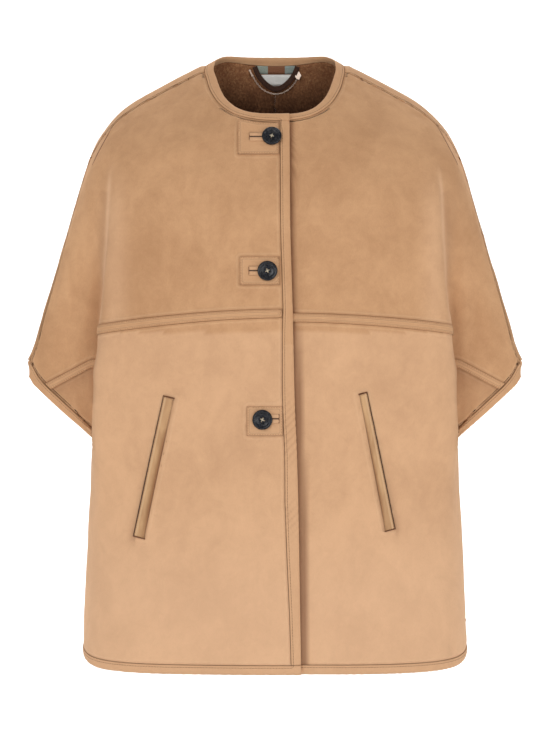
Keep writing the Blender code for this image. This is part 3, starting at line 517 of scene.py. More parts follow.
def dress(made, materials, slot, *nodes):
    """Gives a piece its materials and its body, and hides the solids it stands for. Its slot is not used."""
    skins = np.empty(len(made.data.polygons), np.int32)
    made.data.polygons.foreach_get("material_index", skins)
    made.data.materials.clear()
    for material in materials:
        made.data.materials.append(material)
    made.data.polygons.foreach_set("material_index", skins)
    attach(made, "root")
    if nodes:
        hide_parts(*nodes)
    return made


print("materials to dress the pieces in:", len(bpy.data.materials))

# %% [markdown]
# ## Soft steps and bells
# What is shaped below is a soft step or a bell over a distance in millimetres. Numpy works them
# out for all of a piece's vertices at once, which is far quicker than a loop over them.


# %% Steps, bells and lines
def smooth(values, low, high):
    """0 at low, 1 at high and smooth between. With low above high it falls."""
    t = np.clip((values - low) / (high - low), 0, 1)
    return t * t * (3 - 2 * t)


def bell(values, middle, half_width):
    """1 at middle, falling away on both sides to a third at half_width."""
    return np.exp(-(((values - middle) / half_width) ** 2))


def along(z, line):
    """The first value of a line of (value, z) pairs, lowest first, at every z."""
    return np.interp(z, [b for a, b in line], [a for a, b in line])


print("a bell at its half width:", round(float(bell(1.0, 0.0, 1.0)), 2))

# %% [markdown]
# ## Easing the solids
# The solids have plain corners. Worn cloth is softer: the sleeve's corner is rounded, its tape slides
# up the cuff, the back neck dips in its middle and stands up at both ends, and the lapping front's
# binding is wider down the skirt. All pieces that meet are moved by the same rule, so their seams
# stay closed: by a few millimetres, and by 12 to 16 at the very corner of the sleeve. A lattice could
# do it, but it would need many cells here.

# %% Ease the sleeve and the neck
# the right front's outer edge, x and z in mm from the lowest, and how far it is let out there
FRONT_EDGE = [
    (32, -745), (29, -560), (27.6, -490), (24, -415), (22.2, -330), (20.4, -255), (18, -190), (18, -60),
]
LET_OUT = [
    (0.3, -745), (1.2, -680), (3.5, -600), (4.5, -540), (3.2, -480), (3.0, -400), (1.5, -330), (0, -300),
]
# a point on the sleeve's tape, and the way the tape runs: out 61.5 mm while it falls 33.2 mm
TAPE_START, TAPE_RUN, TAPE_FALL = (226.5, -369.8), 61.5, 33.2


def sleeve_shift(x, z):
    """How far the sleeve's rounded corner and sliding tape move a point outwards and up, in mm."""
    corner = bell(x, 320, 17) * bell(z, -384, 17) * smooth((320 - x + z + 388) * math.sqrt(0.5), 0, 5)
    tip = bell(x, 322, 9) * bell(z, -384, 9)
    by_cuff = bell(x, 314, 13) * bell(z, -366, 13)
    above_tape = (z - TAPE_START[1]) * TAPE_RUN + (x - TAPE_START[0]) * TAPE_FALL
    above_tape /= math.hypot(TAPE_RUN, TAPE_FALL)
    slide = 4.2 * bell(above_tape, 0, 22) * smooth(x, 222, 234) * smooth(x, 318, 296)
    return slide - 2 * corner - 3.4 * tip + 4 * by_cuff, slide + 11 * corner + 1.5 * tip


def neck_shift(x, z, on_right):
    """How far the neck's wider sides and raised back ends move a point outwards and up, in mm."""
    wide = 2.6 * bell(x, 84, 14) * bell(z, 12, 9) * np.where(on_right, 1.0, 0.6)
    stand = 2.6 * bell(x, 65, np.where(x < 65, 22, 10)) - 2.9 * bell(x, 86, 8)
    return wide, stand * smooth(z, -30, -5)


print("front edge from z", FRONT_EDGE[0][1], "to", FRONT_EDGE[-1][1], "mm")

# %% [markdown]
# A few pieces are eased on their own as well: the cuff bindings reach the rounded corner, the lapping
# edge is let out, the top patch meets the neck binding, and the label, ribbon and loop stand a little
# higher and further forward. At last the centre back is drawn together, so that its two sides
# meet in one line.

# %% Settle a piece
NECK_TRIMS = ("label", "ribbon", "hanging_loop")
TRIM_SHIFT = np.array((0, -1.45, 4.0)) * MM


def settled(points, node):
    """The points of a piece where they lie once it is eased."""
    x, z = np.abs(points[:, 0]) / MM, points[:, 2] / MM
    outwards = np.sign(points[:, 0])
    moved = points.copy()
    for out, up in (sleeve_shift(x, z), neck_shift(x, z, outwards < 0)):
        moved[:, 0] += outwards * out * MM
        moved[:, 2] += up * MM
    if node.endswith("cuff_binding"):
        lift = smooth(moved[:, 2] / MM, -380, -370) * smooth(np.abs(moved[:, 0]) / MM, 300, 312)
        moved[:, 0] += outwards * 3.2 * lift * MM
        moved[:, 2] += 4.5 * lift * MM
    if node.startswith("right_front"):
        past = points[:, 0] / MM - along(z, FRONT_EDGE)
        out = along(z, LET_OUT) * smooth(past, -2, -11) * smooth(past, -75, -35) * (points[:, 1] < -0.05)
        moved[:, 0] -= out * MM
    if node == "top_patch":
        leftmost = smooth(points[:, 0] / MM, -15, -44)
        moved[:, 2] += (1.0 + 4.5 * leftmost) * smooth(z, -80, -68) * MM
    if node in NECK_TRIMS:
        moved += TRIM_SHIFT
    centre_back = (x < 0.8) & (points[:, 1] > 0)
    moved[centre_back, 0] *= 0.1
    return moved


print("eased on their own: cuff bindings, right front, top patch,", ", ".join(NECK_TRIMS))

# %% [markdown]
# ## The eight panels
# The coat is cut in four yokes, each in one with half a sleeve, and four skirts. The fronts are seen from
# near, so they are subdivided once more than the backs.

# %% Panels
SIDES = ("right", "left")
PANEL_LEVELS = {"front_yoke": 3, "front_skirt": 3, "back_yoke": 2, "back_skirt": 2}
PANELS = {f"{side}_{part}": levels for part, levels in PANEL_LEVELS.items() for side in SIDES}
CLOTH = {}


def make_cloth(node, levels, join=40, limit=SHARP, skins=True):
    """Makes the finer, settled cloth that stands for a node."""
    mesh = welded(node, join, limit)
    if skins:
        sort_skins(mesh)
    made = CLOTH[node] = finer(f"{node}_cloth", mesh, levels)
    set_points(made.data, settled(points_of(made.data), node))
    return made


for node, levels in PANELS.items():
    make_cloth(node, levels)
print("panels:", {node: len(CLOTH[node].data.polygons) for node in PANELS})

# %% [markdown]
# A seam shows by how the cloth behaves near it, so each panel has to know how far every vertex is from
# the nearest sewn edge. Walking the mesh would be slow. The edges are turned into points, and a
# k-d tree finds the nearest of them.


# %% Where the seams are
def edge_points(made, skin, pitch=1.5 * MM):
    """Points along the edges between the faces of one skin and the others."""
    mesh = bmesh.new()
    mesh.from_mesh(made.data)
    found = []
    for edge in mesh.edges:
        sides = {face.material_index == skin for face in edge.link_faces}
        if len(sides) == 2:
            a, b = (vert.co for vert in edge.verts)
            count = max(1, math.ceil((b - a).length / pitch))
            found += [a.lerp(b, i / count) for i in range(count + 1)]
    mesh.free()
    return found


def tree_of(points):
    tree = KDTree(len(points))
    for index, point in enumerate(points):
        tree.insert(point, index)
    tree.balance()
    return tree


def distances(points, tree):
    return np.array([tree.find(point)[2] for point in points])


SEAM_POINTS = [point for node in PANELS for point in edge_points(CLOTH[node], 0)]
seam_tree = tree_of(SEAM_POINTS)
print("points along the seams:", len(SEAM_POINTS))

# %% [markdown]
# ## Bindings, tapes, patches and welts
# These are strips sewn over or beside the panels' edges. They could be swept along a curve, but they
# have to lie on the panels exactly as their solids do, so they are made in the same way. A welt is
# narrow and close to the eye, so it is the finest. The side that lies on a panel is its inner skin,
# and the edges of that side are where a panel is pressed.

# %% Strips
BINDINGS = {
    "neck_binding": 2,
    "hem_binding": 3,
    "right_front_binding": 4,
    "left_front_binding": 3,
    "right_cuff_binding": 3,
    "left_cuff_binding": 3,
}
TAPES = ("right_chest_tape", "left_chest_tape", "back_chest_tape")
PATCHES = ("top_patch", "middle_patch", "bottom_patch")
WELTS = ("right_pocket_welt", "left_pocket_welt")
STRIPS = {**dict.fromkeys(TAPES, 3), **dict.fromkeys(PATCHES, 2), **dict.fromkeys(WELTS, 4)}

for node, levels in BINDINGS.items():
    make_cloth(node, levels, 25, math.radians(55), skins=False)
for node, levels in STRIPS.items():
    make_cloth(node, levels)
strip_tree = tree_of([point for node in STRIPS for point in edge_points(CLOTH[node], 1)])
print("strips:", {node: len(CLOTH[node].data.polygons) for node in (*BINDINGS, *STRIPS)})

# %% [markdown]
# ## Folds
# Cloth simulation would drape the coat its own way. Here every fold has to lie where it does on this
# coat, so each is a line on the front or the back, as it is seen from the front (x to the wearer's
# left, z up). A trough has a soft ridge on both sides, and its depth and width vary along it.

# %% Fold lines
# points, depth in mm (negative for a ridge), half width in mm
FRONT_FOLDS = [
    ([(-214, -120), (-213, -175), (-219, -250), (-226, -310), (-229, -360)], 2.6, 9),
    ([(-205, -140), (-204, -220), (-210, -300)], -1.6, 10),
    ([(-240, -210), (-252, -290), (-262, -350)], 1.2, 14),
    ([(214, -120), (214, -180), (220, -255), (227, -315), (230, -362)], 2.8, 9),
    ([(205, -150), (205, -230), (211, -305)], -1.5, 11),
    ([(242, -200), (251, -280), (266, -345)], 1.4, 15),
    ([(-60, -95), (-110, -120), (-150, -128)], 1.0, 12),
    ([(-56, -255), (-100, -272), (-140, -300)], 0.9, 12),
    ([(60, -90), (105, -112), (150, -122)], 0.8, 14),
    ([(-190, -400), (-196, -500), (-190, -610), (-196, -700)], 1.6, 20),
    ([(-80, -430), (-76, -520), (-86, -640)], 1.3, 18),
    ([(-150, -600), (-140, -660), (-146, -720)], -1.2, 16),
    ([(70, -420), (74, -500), (62, -620), (66, -700)], 1.7, 18),
    ([(96, -600), (110, -660), (100, -715)], -1.2, 16),
    ([(186, -420), (192, -520), (186, -620), (192, -705)], 1.6, 18),
    ([(30, -470), (36, -560), (28, -660)], 0.9, 12),
    ([(-116, -398), (-130, -404), (-146, -401)], 1.6, 7),
    ([(-152, -592), (-168, -596), (-184, -590)], 1.3, 8),
    ([(96, -393), (108, -399), (122, -397)], 1.6, 7),
    ([(132, -578), (146, -582), (158, -578)], 1.3, 8),
]
BACK_FOLDS = [
    ([(-212, -130), (-214, -230), (-224, -330), (-230, -400)], 2.8, 12),
    ([(213, -125), (214, -225), (225, -335), (231, -405)], 2.9, 12),
    ([(-150, -140), (-142, -240), (-150, -300)], 2.0, 20),
    ([(-60, -110), (-66, -220), (-58, -290)], 1.6, 22),
    ([(40, -120), (48, -210), (40, -295)], 1.8, 22),
    ([(140, -150), (150, -230), (142, -300)], 1.9, 20),
    ([(-170, -370), (-176, -520), (-168, -700)], 2.2, 24),
    ([(-70, -360), (-62, -500), (-74, -690)], 1.9, 24),
    ([(20, -380), (30, -540), (22, -700)], 1.7, 22),
    ([(110, -365), (104, -520), (114, -700)], 2.1, 24),
    ([(190, -380), (184, -540), (192, -700)], 2.0, 22),
]
print("folds:", len(FRONT_FOLDS), "on the front and", len(BACK_FOLDS), "on the back")

# %% [markdown]
# The depth of a fold at a point depends on how far the point is from the fold's line and how far along
# the line it lies. The wider swells between the folds have no line, and come from smooth noise.


# %% Fold depths
def line_distance(x, z, line):
    """Distance from points to a broken line, and how far along it each is, 0 to 1."""
    nearest = np.full(len(x), 1e9)
    share = np.zeros(len(x))
    spans = list(zip(line, line[1:]))
    for index, ((ax, az), (bx, bz)) in enumerate(spans):
        run, rise = bx - ax, bz - az
        part = np.clip(((x - ax) * run + (z - az) * rise) / (run**2 + rise**2), 0, 1)
        far = np.hypot(x - ax - part * run, z - az - part * rise)
        nearer = far < nearest
        nearest[nearer] = far[nearer]
        share[nearer] = ((index + part) / len(spans))[nearer]
    return nearest, share


def fold_heights(points, folds):
    """How far each point stands out, in mm."""
    x, z = points[:, 0] / MM, points[:, 2] / MM
    height = np.zeros(len(x))
    for number, (line, depth, width) in enumerate(folds):
        far, share = line_distance(x, z, line)
        wide = width * (1 + 0.25 * np.sin(9 * share + number))
        strength = np.sin(np.pi * np.clip(0.12 + 0.76 * share, 0, 1)) ** 0.7
        strength *= 1 + 0.2 * np.sin(5 * share + 2 * number)
        height += depth * strength * (0.4 * bell(far, 2 * wide, wide) - bell(far, 0, wide))
    return height


def soft_noise(points, size, seed):
    return np.array([noise.noise(Vector(p) / size + Vector((seed, 0, 0))) for p in points])


depths = [depth for line, depth, width in FRONT_FOLDS + BACK_FOLDS]
print("deepest fold:", max(depths), "mm, highest ridge:", -min(depths), "mm")

# %% [markdown]
# ## Moving a wall of cloth
# If the two skins of a wall moved along their own normals, the wall would get thicker in one place and
# thinner in another. So both move along the outer skin's direction. At a vertex that comes from the
# outer faces around it, or the inner ones turned round, and on a cut edge from the nearest vertex
# that has one.


# %% The way out of the cloth
def outward(made):
    """The outer skin's direction at every vertex, and which vertices are on the outer skin."""
    mesh = made.data
    count = len(mesh.vertices)
    total = np.zeros((count, 3))
    on_outer = np.zeros(count, bool)
    for face in mesh.polygons:
        if face.material_index != 2:
            part = np.array(face.normal) * face.area * (1 if face.material_index == 0 else -1)
            for index in face.vertices:
                total[index] += part
            if face.material_index == 0:
                on_outer[list(face.vertices)] = True
    length = np.linalg.norm(total, axis=1)
    bare = length < 1e-12
    if bare.any():
        points = points_of(mesh)
        known = np.nonzero(~bare)[0]
        tree = tree_of(points[known])
        for index in np.nonzero(bare)[0]:
            near = known[tree.find(points[index])[1]]
            total[index] = total[near]
            length[index] = length[near]
    return total / length[:, None], on_outer


def keep(made, name, values):
    """Stores a value per vertex for the materials, such as the distance to the nearest sewn edge."""
    attribute = made.data.attributes.new(name, "FLOAT", "POINT")
    attribute.data.foreach_set("value", np.asarray(values, np.float32))


def vertex_normals(mesh):
    normals = np.empty(len(mesh.vertices) * 3, np.float32)
    mesh.vertex_normals.foreach_get("vector", normals)
    return normals.reshape(-1, 3)


print("normals on the hem binding:", len(vertex_normals(CLOTH["hem_binding"].data)))

# %% [markdown]
# ## Painted shade in the tucks
# Where one piece slips under another, shade is painted into the cloth's colour: on the left front along
# the lap, outside each pocket mouth, on the sleeve below its tape, in the fold above the underarm, and
# along the chest tape's upper edge. Light alone leaves these too soft at this size, so a `shade` is
# worked out from the same lines.

# %% Shade
# the outer edges of the pocket mouths from the top, and the sleeve's tape, x and z in mm
POCKET_EDGES = {"right": [(-137.6, -409.3), (-176.0, -584.2)], "left": [(113.4, -404.8), (148.6, -574.4)]}
TAPE_LINE = [(226, -364), (262, -383), (300, -403.5)]
# how wide the lap's shadow is, in mm, at each z, and where the underarm's fold lies
LAP_SHADOW = [(6.5, -745), (7.5, -700), (9, -450), (6.5, -330), (4.5, -60)]
UNDERARM_FOLD = [(231, -400), (215, -120)]


def on_sleeve(x, z):
    """1 on the small triangle of sleeve below the tape."""
    return smooth(x, 224, 232) * (z < -340) * (z > -480)


def lap_shade(x, z):
    # painted shadow cast by the lapping right front onto the left front
    past, wide = x - along(z, FRONT_EDGE), along(z, LAP_SHADOW)
    return 0.74 * smooth(past, wide + 3.0, wide - 1.5)


def pocket_shade(x, z, side):
    """Painted shade outside the mouth, darker and wider towards its lower end."""
    far, share = line_distance(x, z, POCKET_EDGES[side])
    outside = np.abs(x) > np.abs(along(z, POCKET_EDGES[side][::-1]))
    return outside * (0.2 + 0.65 * share) * np.exp(-far / (1.6 + 3.0 * share))


def sleeve_shade(x, z):
    """Painted shade below the tape, and in the fold above the underarm."""
    far = line_distance(x, z, TAPE_LINE)[0]
    under = z < np.interp(x, [a for a, b in TAPE_LINE], [b for a, b in TAPE_LINE])
    below_tape = on_sleeve(x, z) * under * (0.05 + 0.34 * np.exp(-np.maximum(far - 5, 0) / 15))
    return below_tape + 0.17 * bell(x, along(z, UNDERARM_FOLD), 6) * (z > -420) * (z < -150)


def shade_of(points, node, to_strip):
    """How much painted shade each point of a panel has, 0 to 1."""
    x, z = points[:, 0] / MM, points[:, 2] / MM
    dark = sleeve_shade(np.abs(x), z)
    if node.startswith("left_front"):
        dark += lap_shade(x, z)
    if node.endswith("front_skirt"):
        dark += pocket_shade(x, z, node.split("_")[0])
    if "yoke" in node:
        # painted shadow along the chest tape's upper edge
        dark += 0.26 * np.exp(-to_strip / (2.0 * MM)) * (z < -285)
    return np.clip(dark, 0, 1)


print("pocket mouths:", {side: round(math.dist(*edge)) for side, edge in POCKET_EDGES.items()}, "mm long")

# %% [markdown]
# ## How the nap lies, and painted sheen
# The skirts are paler than the yokes, more so towards the hem: partly their nap lies flatter, and
# partly that is painted sheen. On the yokes it is pale outside the pressed overarm edge, with painted
# light beside the underarm fold and a painted highlight on its ridge. A second material would change
# in a hard line, so one attribute blends the paler tone in.

# %% Pale nap and painted sheen
# the pressed and stitched overarm edge, and the ridge of the fold above the underarm, x and z in mm
PRESSED_EDGE = [
    (277, -234), (262, -197.6), (251, -156), (234.7, -113.8), (220.4, -84.5), (210, -63.7), (195.6, -45.5),
]
FOLD_RIDGE = [(223, -320), (216, -220), (209, -120)]


def yoke_nap_and_sheen(x, z, in_front):
    outside = smooth(x - along(z, PRESSED_EDGE), -1, 4) * smooth(z, -45, -75) * smooth(z, -262, -215)
    # painted highlight along the ridge of the underarm fold
    ridge = bell(x, along(z, FOLD_RIDGE), 3.2) * smooth(z, -110, -150) * smooth(z, -338, -312)
    # painted light beside the underarm fold
    beside_fold = bell(x, 200, 16) * smooth(z, -100, -190)
    return 0.5 * outside + 0.6 * ridge * in_front + 0.4 * beside_fold


def nap_and_sheen_of(points, node):
    """How pale each point of a panel is, 0 to 1: the nap and painted sheen."""
    x, z = np.abs(points[:, 0]) / MM, points[:, 2] / MM
    if "yoke" in node:
        return np.clip(yoke_nap_and_sheen(x, z, points[:, 1] < 0), 0, 1)
    # painted sheen over the skirts, stronger towards the hem
    flat = np.where(z < -330, 0.46 + 0.34 * smooth(z, -500, -680), 0)
    return flat * (1 - 0.85 * on_sleeve(x, z))


def strip_nap_and_sheen(points, node):
    """A strip is as pale as the panel it is sewn to: its nap lies the same way, and it gets the same painted
    sheen.
    """
    z = points[:, 2] / MM
    pale = np.where(z < -345, 0.3 + 0.2 * smooth(z, -360, -640), 0.12)
    return pale * (0.4 if node.endswith(("tape", "cuff_binding")) else 1.0)


print("pressed edge:", len(PRESSED_EDGE), "points, fold ridge:", len(FOLD_RIDGE))

# %% [markdown]
# ## Shaping the panels
# Near a seam the cloth is calm, turns down into it, and stands up a little just beside it. Two close
# loops along every edge of the outer skin hold that turn. A bevel would round the seam away, and an
# inset only adds the loops.


# %% Turned edges
def turned_edge(made):
    """Adds the close loops inside the outer skin's edge."""
    mesh = bmesh.new()
    mesh.from_mesh(made.data)
    for thick in (1.1 * MM, 2.2 * MM):
        outer = [face for face in mesh.faces if face.material_index == 0]
        if thick > 2 * MM:
            inside = set(outer)
            border = {f for f in outer if any(set(e.link_faces) - inside for e in f.edges)}
            outer = [face for face in outer if face not in border]
        bmesh.ops.inset_region(mesh, faces=outer, thickness=thick, use_boundary=True, use_even_offset=False)
    mesh.to_mesh(made.data)
    mesh.free()


def turned_down(to_seam, to_strip):
    """How far the outer skin lies down beside its seams and under a strip's edge, in mm."""
    roll = 0.35 * bell(to_seam, 6 * MM, 3 * MM) - 0.6 * bell(to_seam, 0, 1.8 * MM)
    return roll - 0.5 * bell(to_strip, 0, 5 * MM) * smooth(to_seam, 2 * MM, 6 * MM)


def faint_seam(points, node):
    """1 where the dark seam line fades: out on the overarm, and beside the neck in front."""
    x, z = np.abs(points[:, 0]) / MM, points[:, 2] / MM
    overarm = smooth(x, 196, 214) * smooth(z, -372, -366) * ("yoke" in node)
    by_neck = smooth(x, 82, 76) * smooth(z, -82, -78) * ("front_yoke" in node)
    return np.maximum(overarm, by_neck)


for node in PANELS:
    turned_edge(CLOTH[node])
print("panels with turned edges:", {node: len(CLOTH[node].data.polygons) for node in PANELS})

# %% [markdown]
# Now the folds, the swells, the small puckers beside the tapes and the turned edges are added up into
# one height, and the whole wall moves by it. What the materials need is kept with every vertex.

# %% Shape the panels
STRIP_GAP = 0.3 * MM  # how far off its panel a strip lies

for node in PANELS:
    made = CLOTH[node]
    points = points_of(made.data)
    direction, on_outer = outward(made)
    to_seam, to_strip = distances(points, seam_tree), distances(points, strip_tree)
    calm = smooth(to_seam, 3 * MM, 26 * MM)
    by_seam = smooth(to_seam, 3 * MM, 9 * MM) * smooth(to_seam, 30 * MM, 9 * MM)
    height = fold_heights(points, BACK_FOLDS if "back" in node else FRONT_FOLDS) * calm
    height += soft_noise(points, 0.045, 3) * 0.9 * calm
    height += soft_noise(points * (1, 1, 0.35), 0.012, 8) * 1.1 * by_seam
    height += np.where(on_outer, turned_down(to_seam, to_strip), 0)
    set_points(made.data, points + direction * height[:, None] * MM)
    rim = np.minimum(to_seam, np.sqrt(np.maximum(to_strip**2 - STRIP_GAP**2, 0)))
    keep(made, "rim", np.maximum(rim, 0.5 * MM * faint_seam(points, node)))
    keep(made, "shade", shade_of(points, node, to_strip))
    keep(made, "pale", nap_and_sheen_of(points, node))
    dress(made, (SUEDE, PILE, CUT), "suede", node)
print("panels shaped:", sum(len(CLOTH[node].data.polygons) for node in PANELS), "faces")

# %% [markdown]
# ## Shaping the bindings
# The bindings are cut on the bias, so they twist a little: diagonal ripples run across them, most of
# all on the right front edge below the lowest button. A bump would do for a flat view, but the
# ripples catch the light at the edge, so they are in the shape. On the right front edge, painted
# shade also darkens the ripples' troughs.


# %% Bindings
def ripples(points, made_for):
    """Diagonal ripples, in mm."""
    x, z = points[:, 0] / MM, points[:, 2] / MM
    if made_for == "right_front_binding":
        strong = 0.06 + np.exp(-(((z + 455) / 30) ** 2)) + 0.5 * np.exp(-(((z + 560) / 34) ** 2))
        inner = 0.3 + 0.7 * smooth(x, 30, 20)
        uneven = 0.7 + 0.3 * np.sin(z / 11 + 2)
        return 0.7 * strong * inner * uneven * np.sin(math.tau * (z - 1.1 * x) / 10.5 + 2.2 * np.sin(z / 23))
    small = 0.08 if made_for == "neck_binding" else 0.2
    return small * np.sin(math.tau * (z + x + points[:, 1] / MM) / 11 + 2 * np.sin(z / 31))


def folded_over(points):
    """How far the seam line stays off the corner where the front edge covers the neck's end, in mm."""
    x, z = points[:, 0] / MM, points[:, 2] / MM
    return 1.6 * smooth(x, 4, 8) * smooth(x, 22, 19) * bell(z, -67, 7) * (points[:, 1] < 0)


for node in BINDINGS:
    made = CLOTH[node]
    points = points_of(made.data)
    to_seam = distances(points, seam_tree)
    wave = ripples(points, node)
    height = wave * smooth(to_seam, 1 * MM, 5 * MM) - 0.45 * bell(to_seam, 0, 1.4 * MM)
    set_points(made.data, points + vertex_normals(made.data) * height[:, None] * MM)
    keep(made, "rim", to_seam + folded_over(points) * MM)
    # painted shade in the ripples' troughs on the right front edge
    keep(made, "shade", 0.5 * np.clip(-wave, 0, 1) * (node == "right_front_binding"))
    keep(made, "pale", strip_nap_and_sheen(points, node))
    dress(made, (TRIM,), "suede_edge", node)
print("bindings shaped:", len(BINDINGS))

# %% [markdown]
# ## Shaping the tapes, patches and welts
# A tape puckers a little between its two rows of stitches, a patch lies flat, and a welt is drawn in
# towards its pocket's mouth. All of them sink at their edges, where they are sewn down.

# %% Tapes, patches and welts
# the share of each welt's width that stays, at its top and at its bottom
WELT_SHARE = {"right": (0.85, 0.9), "left": (0.74, 0.93)}


def drawn_in(points, side):
    """The welt's points, drawn in towards the pocket's mouth."""
    (top_x, top_z), (low_x, low_z) = POCKET_EDGES[side]
    top_share, low_share = WELT_SHARE[side]
    down = np.clip((points[:, 2] / MM - top_z) / (low_z - top_z), 0, 1)
    mouth_x = top_x + (low_x - top_x) * down
    share = top_share + (low_share - top_share) * down
    moved = points.copy()
    moved[:, 0] = (mouth_x + (points[:, 0] / MM - mouth_x) * share) * MM
    return moved


def keep_welt_shares(made, points, side):
    """Stores how far across and down its welt each point is, 0 to 1."""
    (top_x, top_z), (low_x, low_z) = POCKET_EDGES[side]
    down = (points[:, 2] / MM - top_z) / (low_z - top_z)
    inwards = np.abs(top_x + (low_x - top_x) * down) - np.abs(points[:, 0] / MM)
    keep(made, "across", np.clip(inwards / 13, 0, 1))
    keep(made, "down", np.clip(down, 0, 1))


for node in STRIPS:
    made, side = CLOTH[node], node.split("_")[0]
    if node in WELTS:
        set_points(made.data, drawn_in(points_of(made.data), side))
    points = points_of(made.data)
    to_edge = distances(points, tree_of(edge_points(made, 0)))
    direction, on_outer = outward(made)
    height = np.where(on_outer, -0.3 * bell(to_edge, 0, 1.2 * MM), 0)
    if node in TAPES:
        pucker = soft_noise(points * (1, 1, 0.3), 0.008, 5) * 0.5
        height += pucker * smooth(to_edge, 0, 3 * MM) * on_outer
    set_points(made.data, points + direction * height[:, None] * MM)
    keep(made, "rim", to_edge)
    if node in WELTS:
        keep_welt_shares(made, points, side)
        dress(made, (WELT,) * 3, "welt", node)
    else:
        keep(made, "pale", strip_nap_and_sheen(points, node))
        dress(made, (TRIM,) * 3, "suede_edge", node)
print("strips shaped:", len(STRIPS))

# %% [markdown]
# ## Laying small pieces on the cloth
# The lips of a buttonhole and a bar tack are small straight things that lie on curved cloth. Placing them
# by hand would leave gaps. Each is drawn first as a rounded bar from -1 to 1, and `lay` walks it
# along a route seen from the front and drops every vertex onto the cloth by casting a ray.


# %% Rays
def tree_for_rays(made):
    return BVHTree.FromObject(made, bpy.context.evaluated_depsgraph_get())


TREES = {name: tree_for_rays(made) for name, made in CLOTH.items()}


def hits(x, z, names):
    """The first of the named cloths met from the front at x, z (mm), and the direction out of it."""
    way = Vector((0, 1, 0))
    start = Vector((x * MM, 0, z * MM)) - way
    found = [TREES[name].ray_cast(start, way) for name in names]
    found = [hit for hit in found if hit[0] is not None]
    if not found:
        raise ValueError(f"no cloth at {x:.1f}, {z:.1f} on {names}")
    point, normal, _, _ = min(found, key=lambda hit: hit[3])
    return point, normal if normal.dot(way) < 0 else -normal


print("pieces that can carry a bar:", len(TREES))

# %% [markdown]
# The bar starts as a cube. Its long edges are bevelled round, and cuts across it let it bend. A curve
# with a bevel would be quicker to write, but it can't be flat and follow the cloth's slope.


# %% Bars
def long_edges(mesh):
    return [edge for edge in mesh.edges if abs(edge.verts[0].co.x - edge.verts[1].co.x) > 1]


def bar(cuts, rounding=0.45):
    """A bar from -1 to 1 each way, rounded along its length and cut across into short lengths."""
    mesh = bmesh.new()
    bmesh.ops.create_cube(mesh, size=2.0)
    bmesh.ops.bevel(
        mesh, geom=long_edges(mesh), offset=rounding, segments=2, profile=0.5, affect="EDGES", material=-1
    )
    bmesh.ops.subdivide_edges(mesh, edges=long_edges(mesh), cuts=cuts, use_grid_fill=True)
    return mesh


def spot_on(route, share):
    """The place at that share of a broken line's length, and the line's direction there."""
    spans = [math.dist(a, b) for a, b in zip(route, route[1:])]
    left = share * sum(spans)
    for (a, b), span in zip(zip(route, route[1:]), spans):
        if left <= span + 1e-9:
            break
        left -= span
    return [a[i] + (b[i] - a[i]) * left / span for i in (0, 1)], [(b[i] - a[i]) / span for i in (0, 1)]


def lay(name, mesh, route, half_width, height, names, lift=0.0, taper=0.0):
    """Lays the bar along the route, with half_width and height in mm, and returns the new object."""
    for vert in mesh.verts:
        share, across, up = vert.co
        (x, z), (dx, dz) = spot_on(route, (share + 1) / 2)
        wide = half_width * (1 - taper * abs(share) ** 3) * across
        point, normal = hits(x - dz * wide, z + dx * wide, names)
        vert.co = point + normal * ((lift + up * height) * MM)
    bmesh.ops.recalc_face_normals(mesh, faces=mesh.faces)
    return object_from(name, mesh)


halfway = [round(c, 1) for c in spot_on(POCKET_EDGES["right"], 0.5)[0]]
print("halfway down the right pocket's mouth:", halfway)

# %% [markdown]
# ## Bound buttonholes
# A bound buttonhole has two narrow lips of folded cloth that meet in a slit, and a short bar of
# thread across its end. Cutting a real hole would open the patch for no gain, because the button
# covers most of it, so the lips, a dark slit of painted shadow and the bar lie on the patch.

# %% Buttonholes
LIP_MIDDLE, LIP_HALF = 3.1, 2.8  # how far from the slit a lip's middle lies, and its half width, in mm
# slit from x to x, z, half length of the end bar, all in mm, and the end that it closes
BUTTONHOLES = {
    "top": (-31.9, -3.0, -84.6, 4.2, "low"),
    "middle": (-32.1, -7.0, -254.0, 4.6, "low"),
    "bottom": (-17.0, 4.9, -436.9, 5.6, "high"),
}
for hole, (low, high, z, half, closed) in BUTTONHOLES.items():
    names = (f"{hole}_patch",)
    for lip, up in (("upper", 1), ("lower", -1)):
        route = [(x, z + up * LIP_MIDDLE) for x in (low, high)]
        made = lay(f"{hole}_buttonhole_{lip}_lip", bar(14, 0.6), route, LIP_HALF, 1.1, names, 0.1)
        points = points_of(made.data)
        to_edge = LIP_HALF - np.abs(np.abs(points[:, 2] / MM - z) - LIP_MIDDLE)
        keep(made, "rim", np.maximum(to_edge, 0) * MM)
        keep(made, "pale", strip_nap_and_sheen(points, "lip") + 0.2)
        dress(made, (TRIM,), "suede_edge")
    slit = lay(f"{hole}_buttonhole_slit", bar(14), [(low, z), (high, z)], 0.75, 0.8, names, 0.3)
    dress(slit, (SHADOW,), "suede_edge")
    end = low if closed == "low" else high
    route = [(end, z - half), (end, z + half)]
    tack = lay(f"{hole}_buttonhole_bar", bar(6), route, 0.5, 0.9, names, 0.3)
    dress(tack, (DARK_THREAD,), "suede_edge")
print("buttonholes:", list(BUTTONHOLES))

# %% [markdown]
# ## Pocket mouths
# Each welt is sewn down along its inner edge and at both ends. Its outer edge is the pocket's mouth,
# a slit that closes towards its ends. The pocket itself never shows, so a dark bar of painted shadow
# stands for the slit, and a bar of thread closes each end.

# %% Pocket mouths
WELT_WIDTHS = {"right": 14.8, "left": 12.8}  # before they are drawn in, in mm

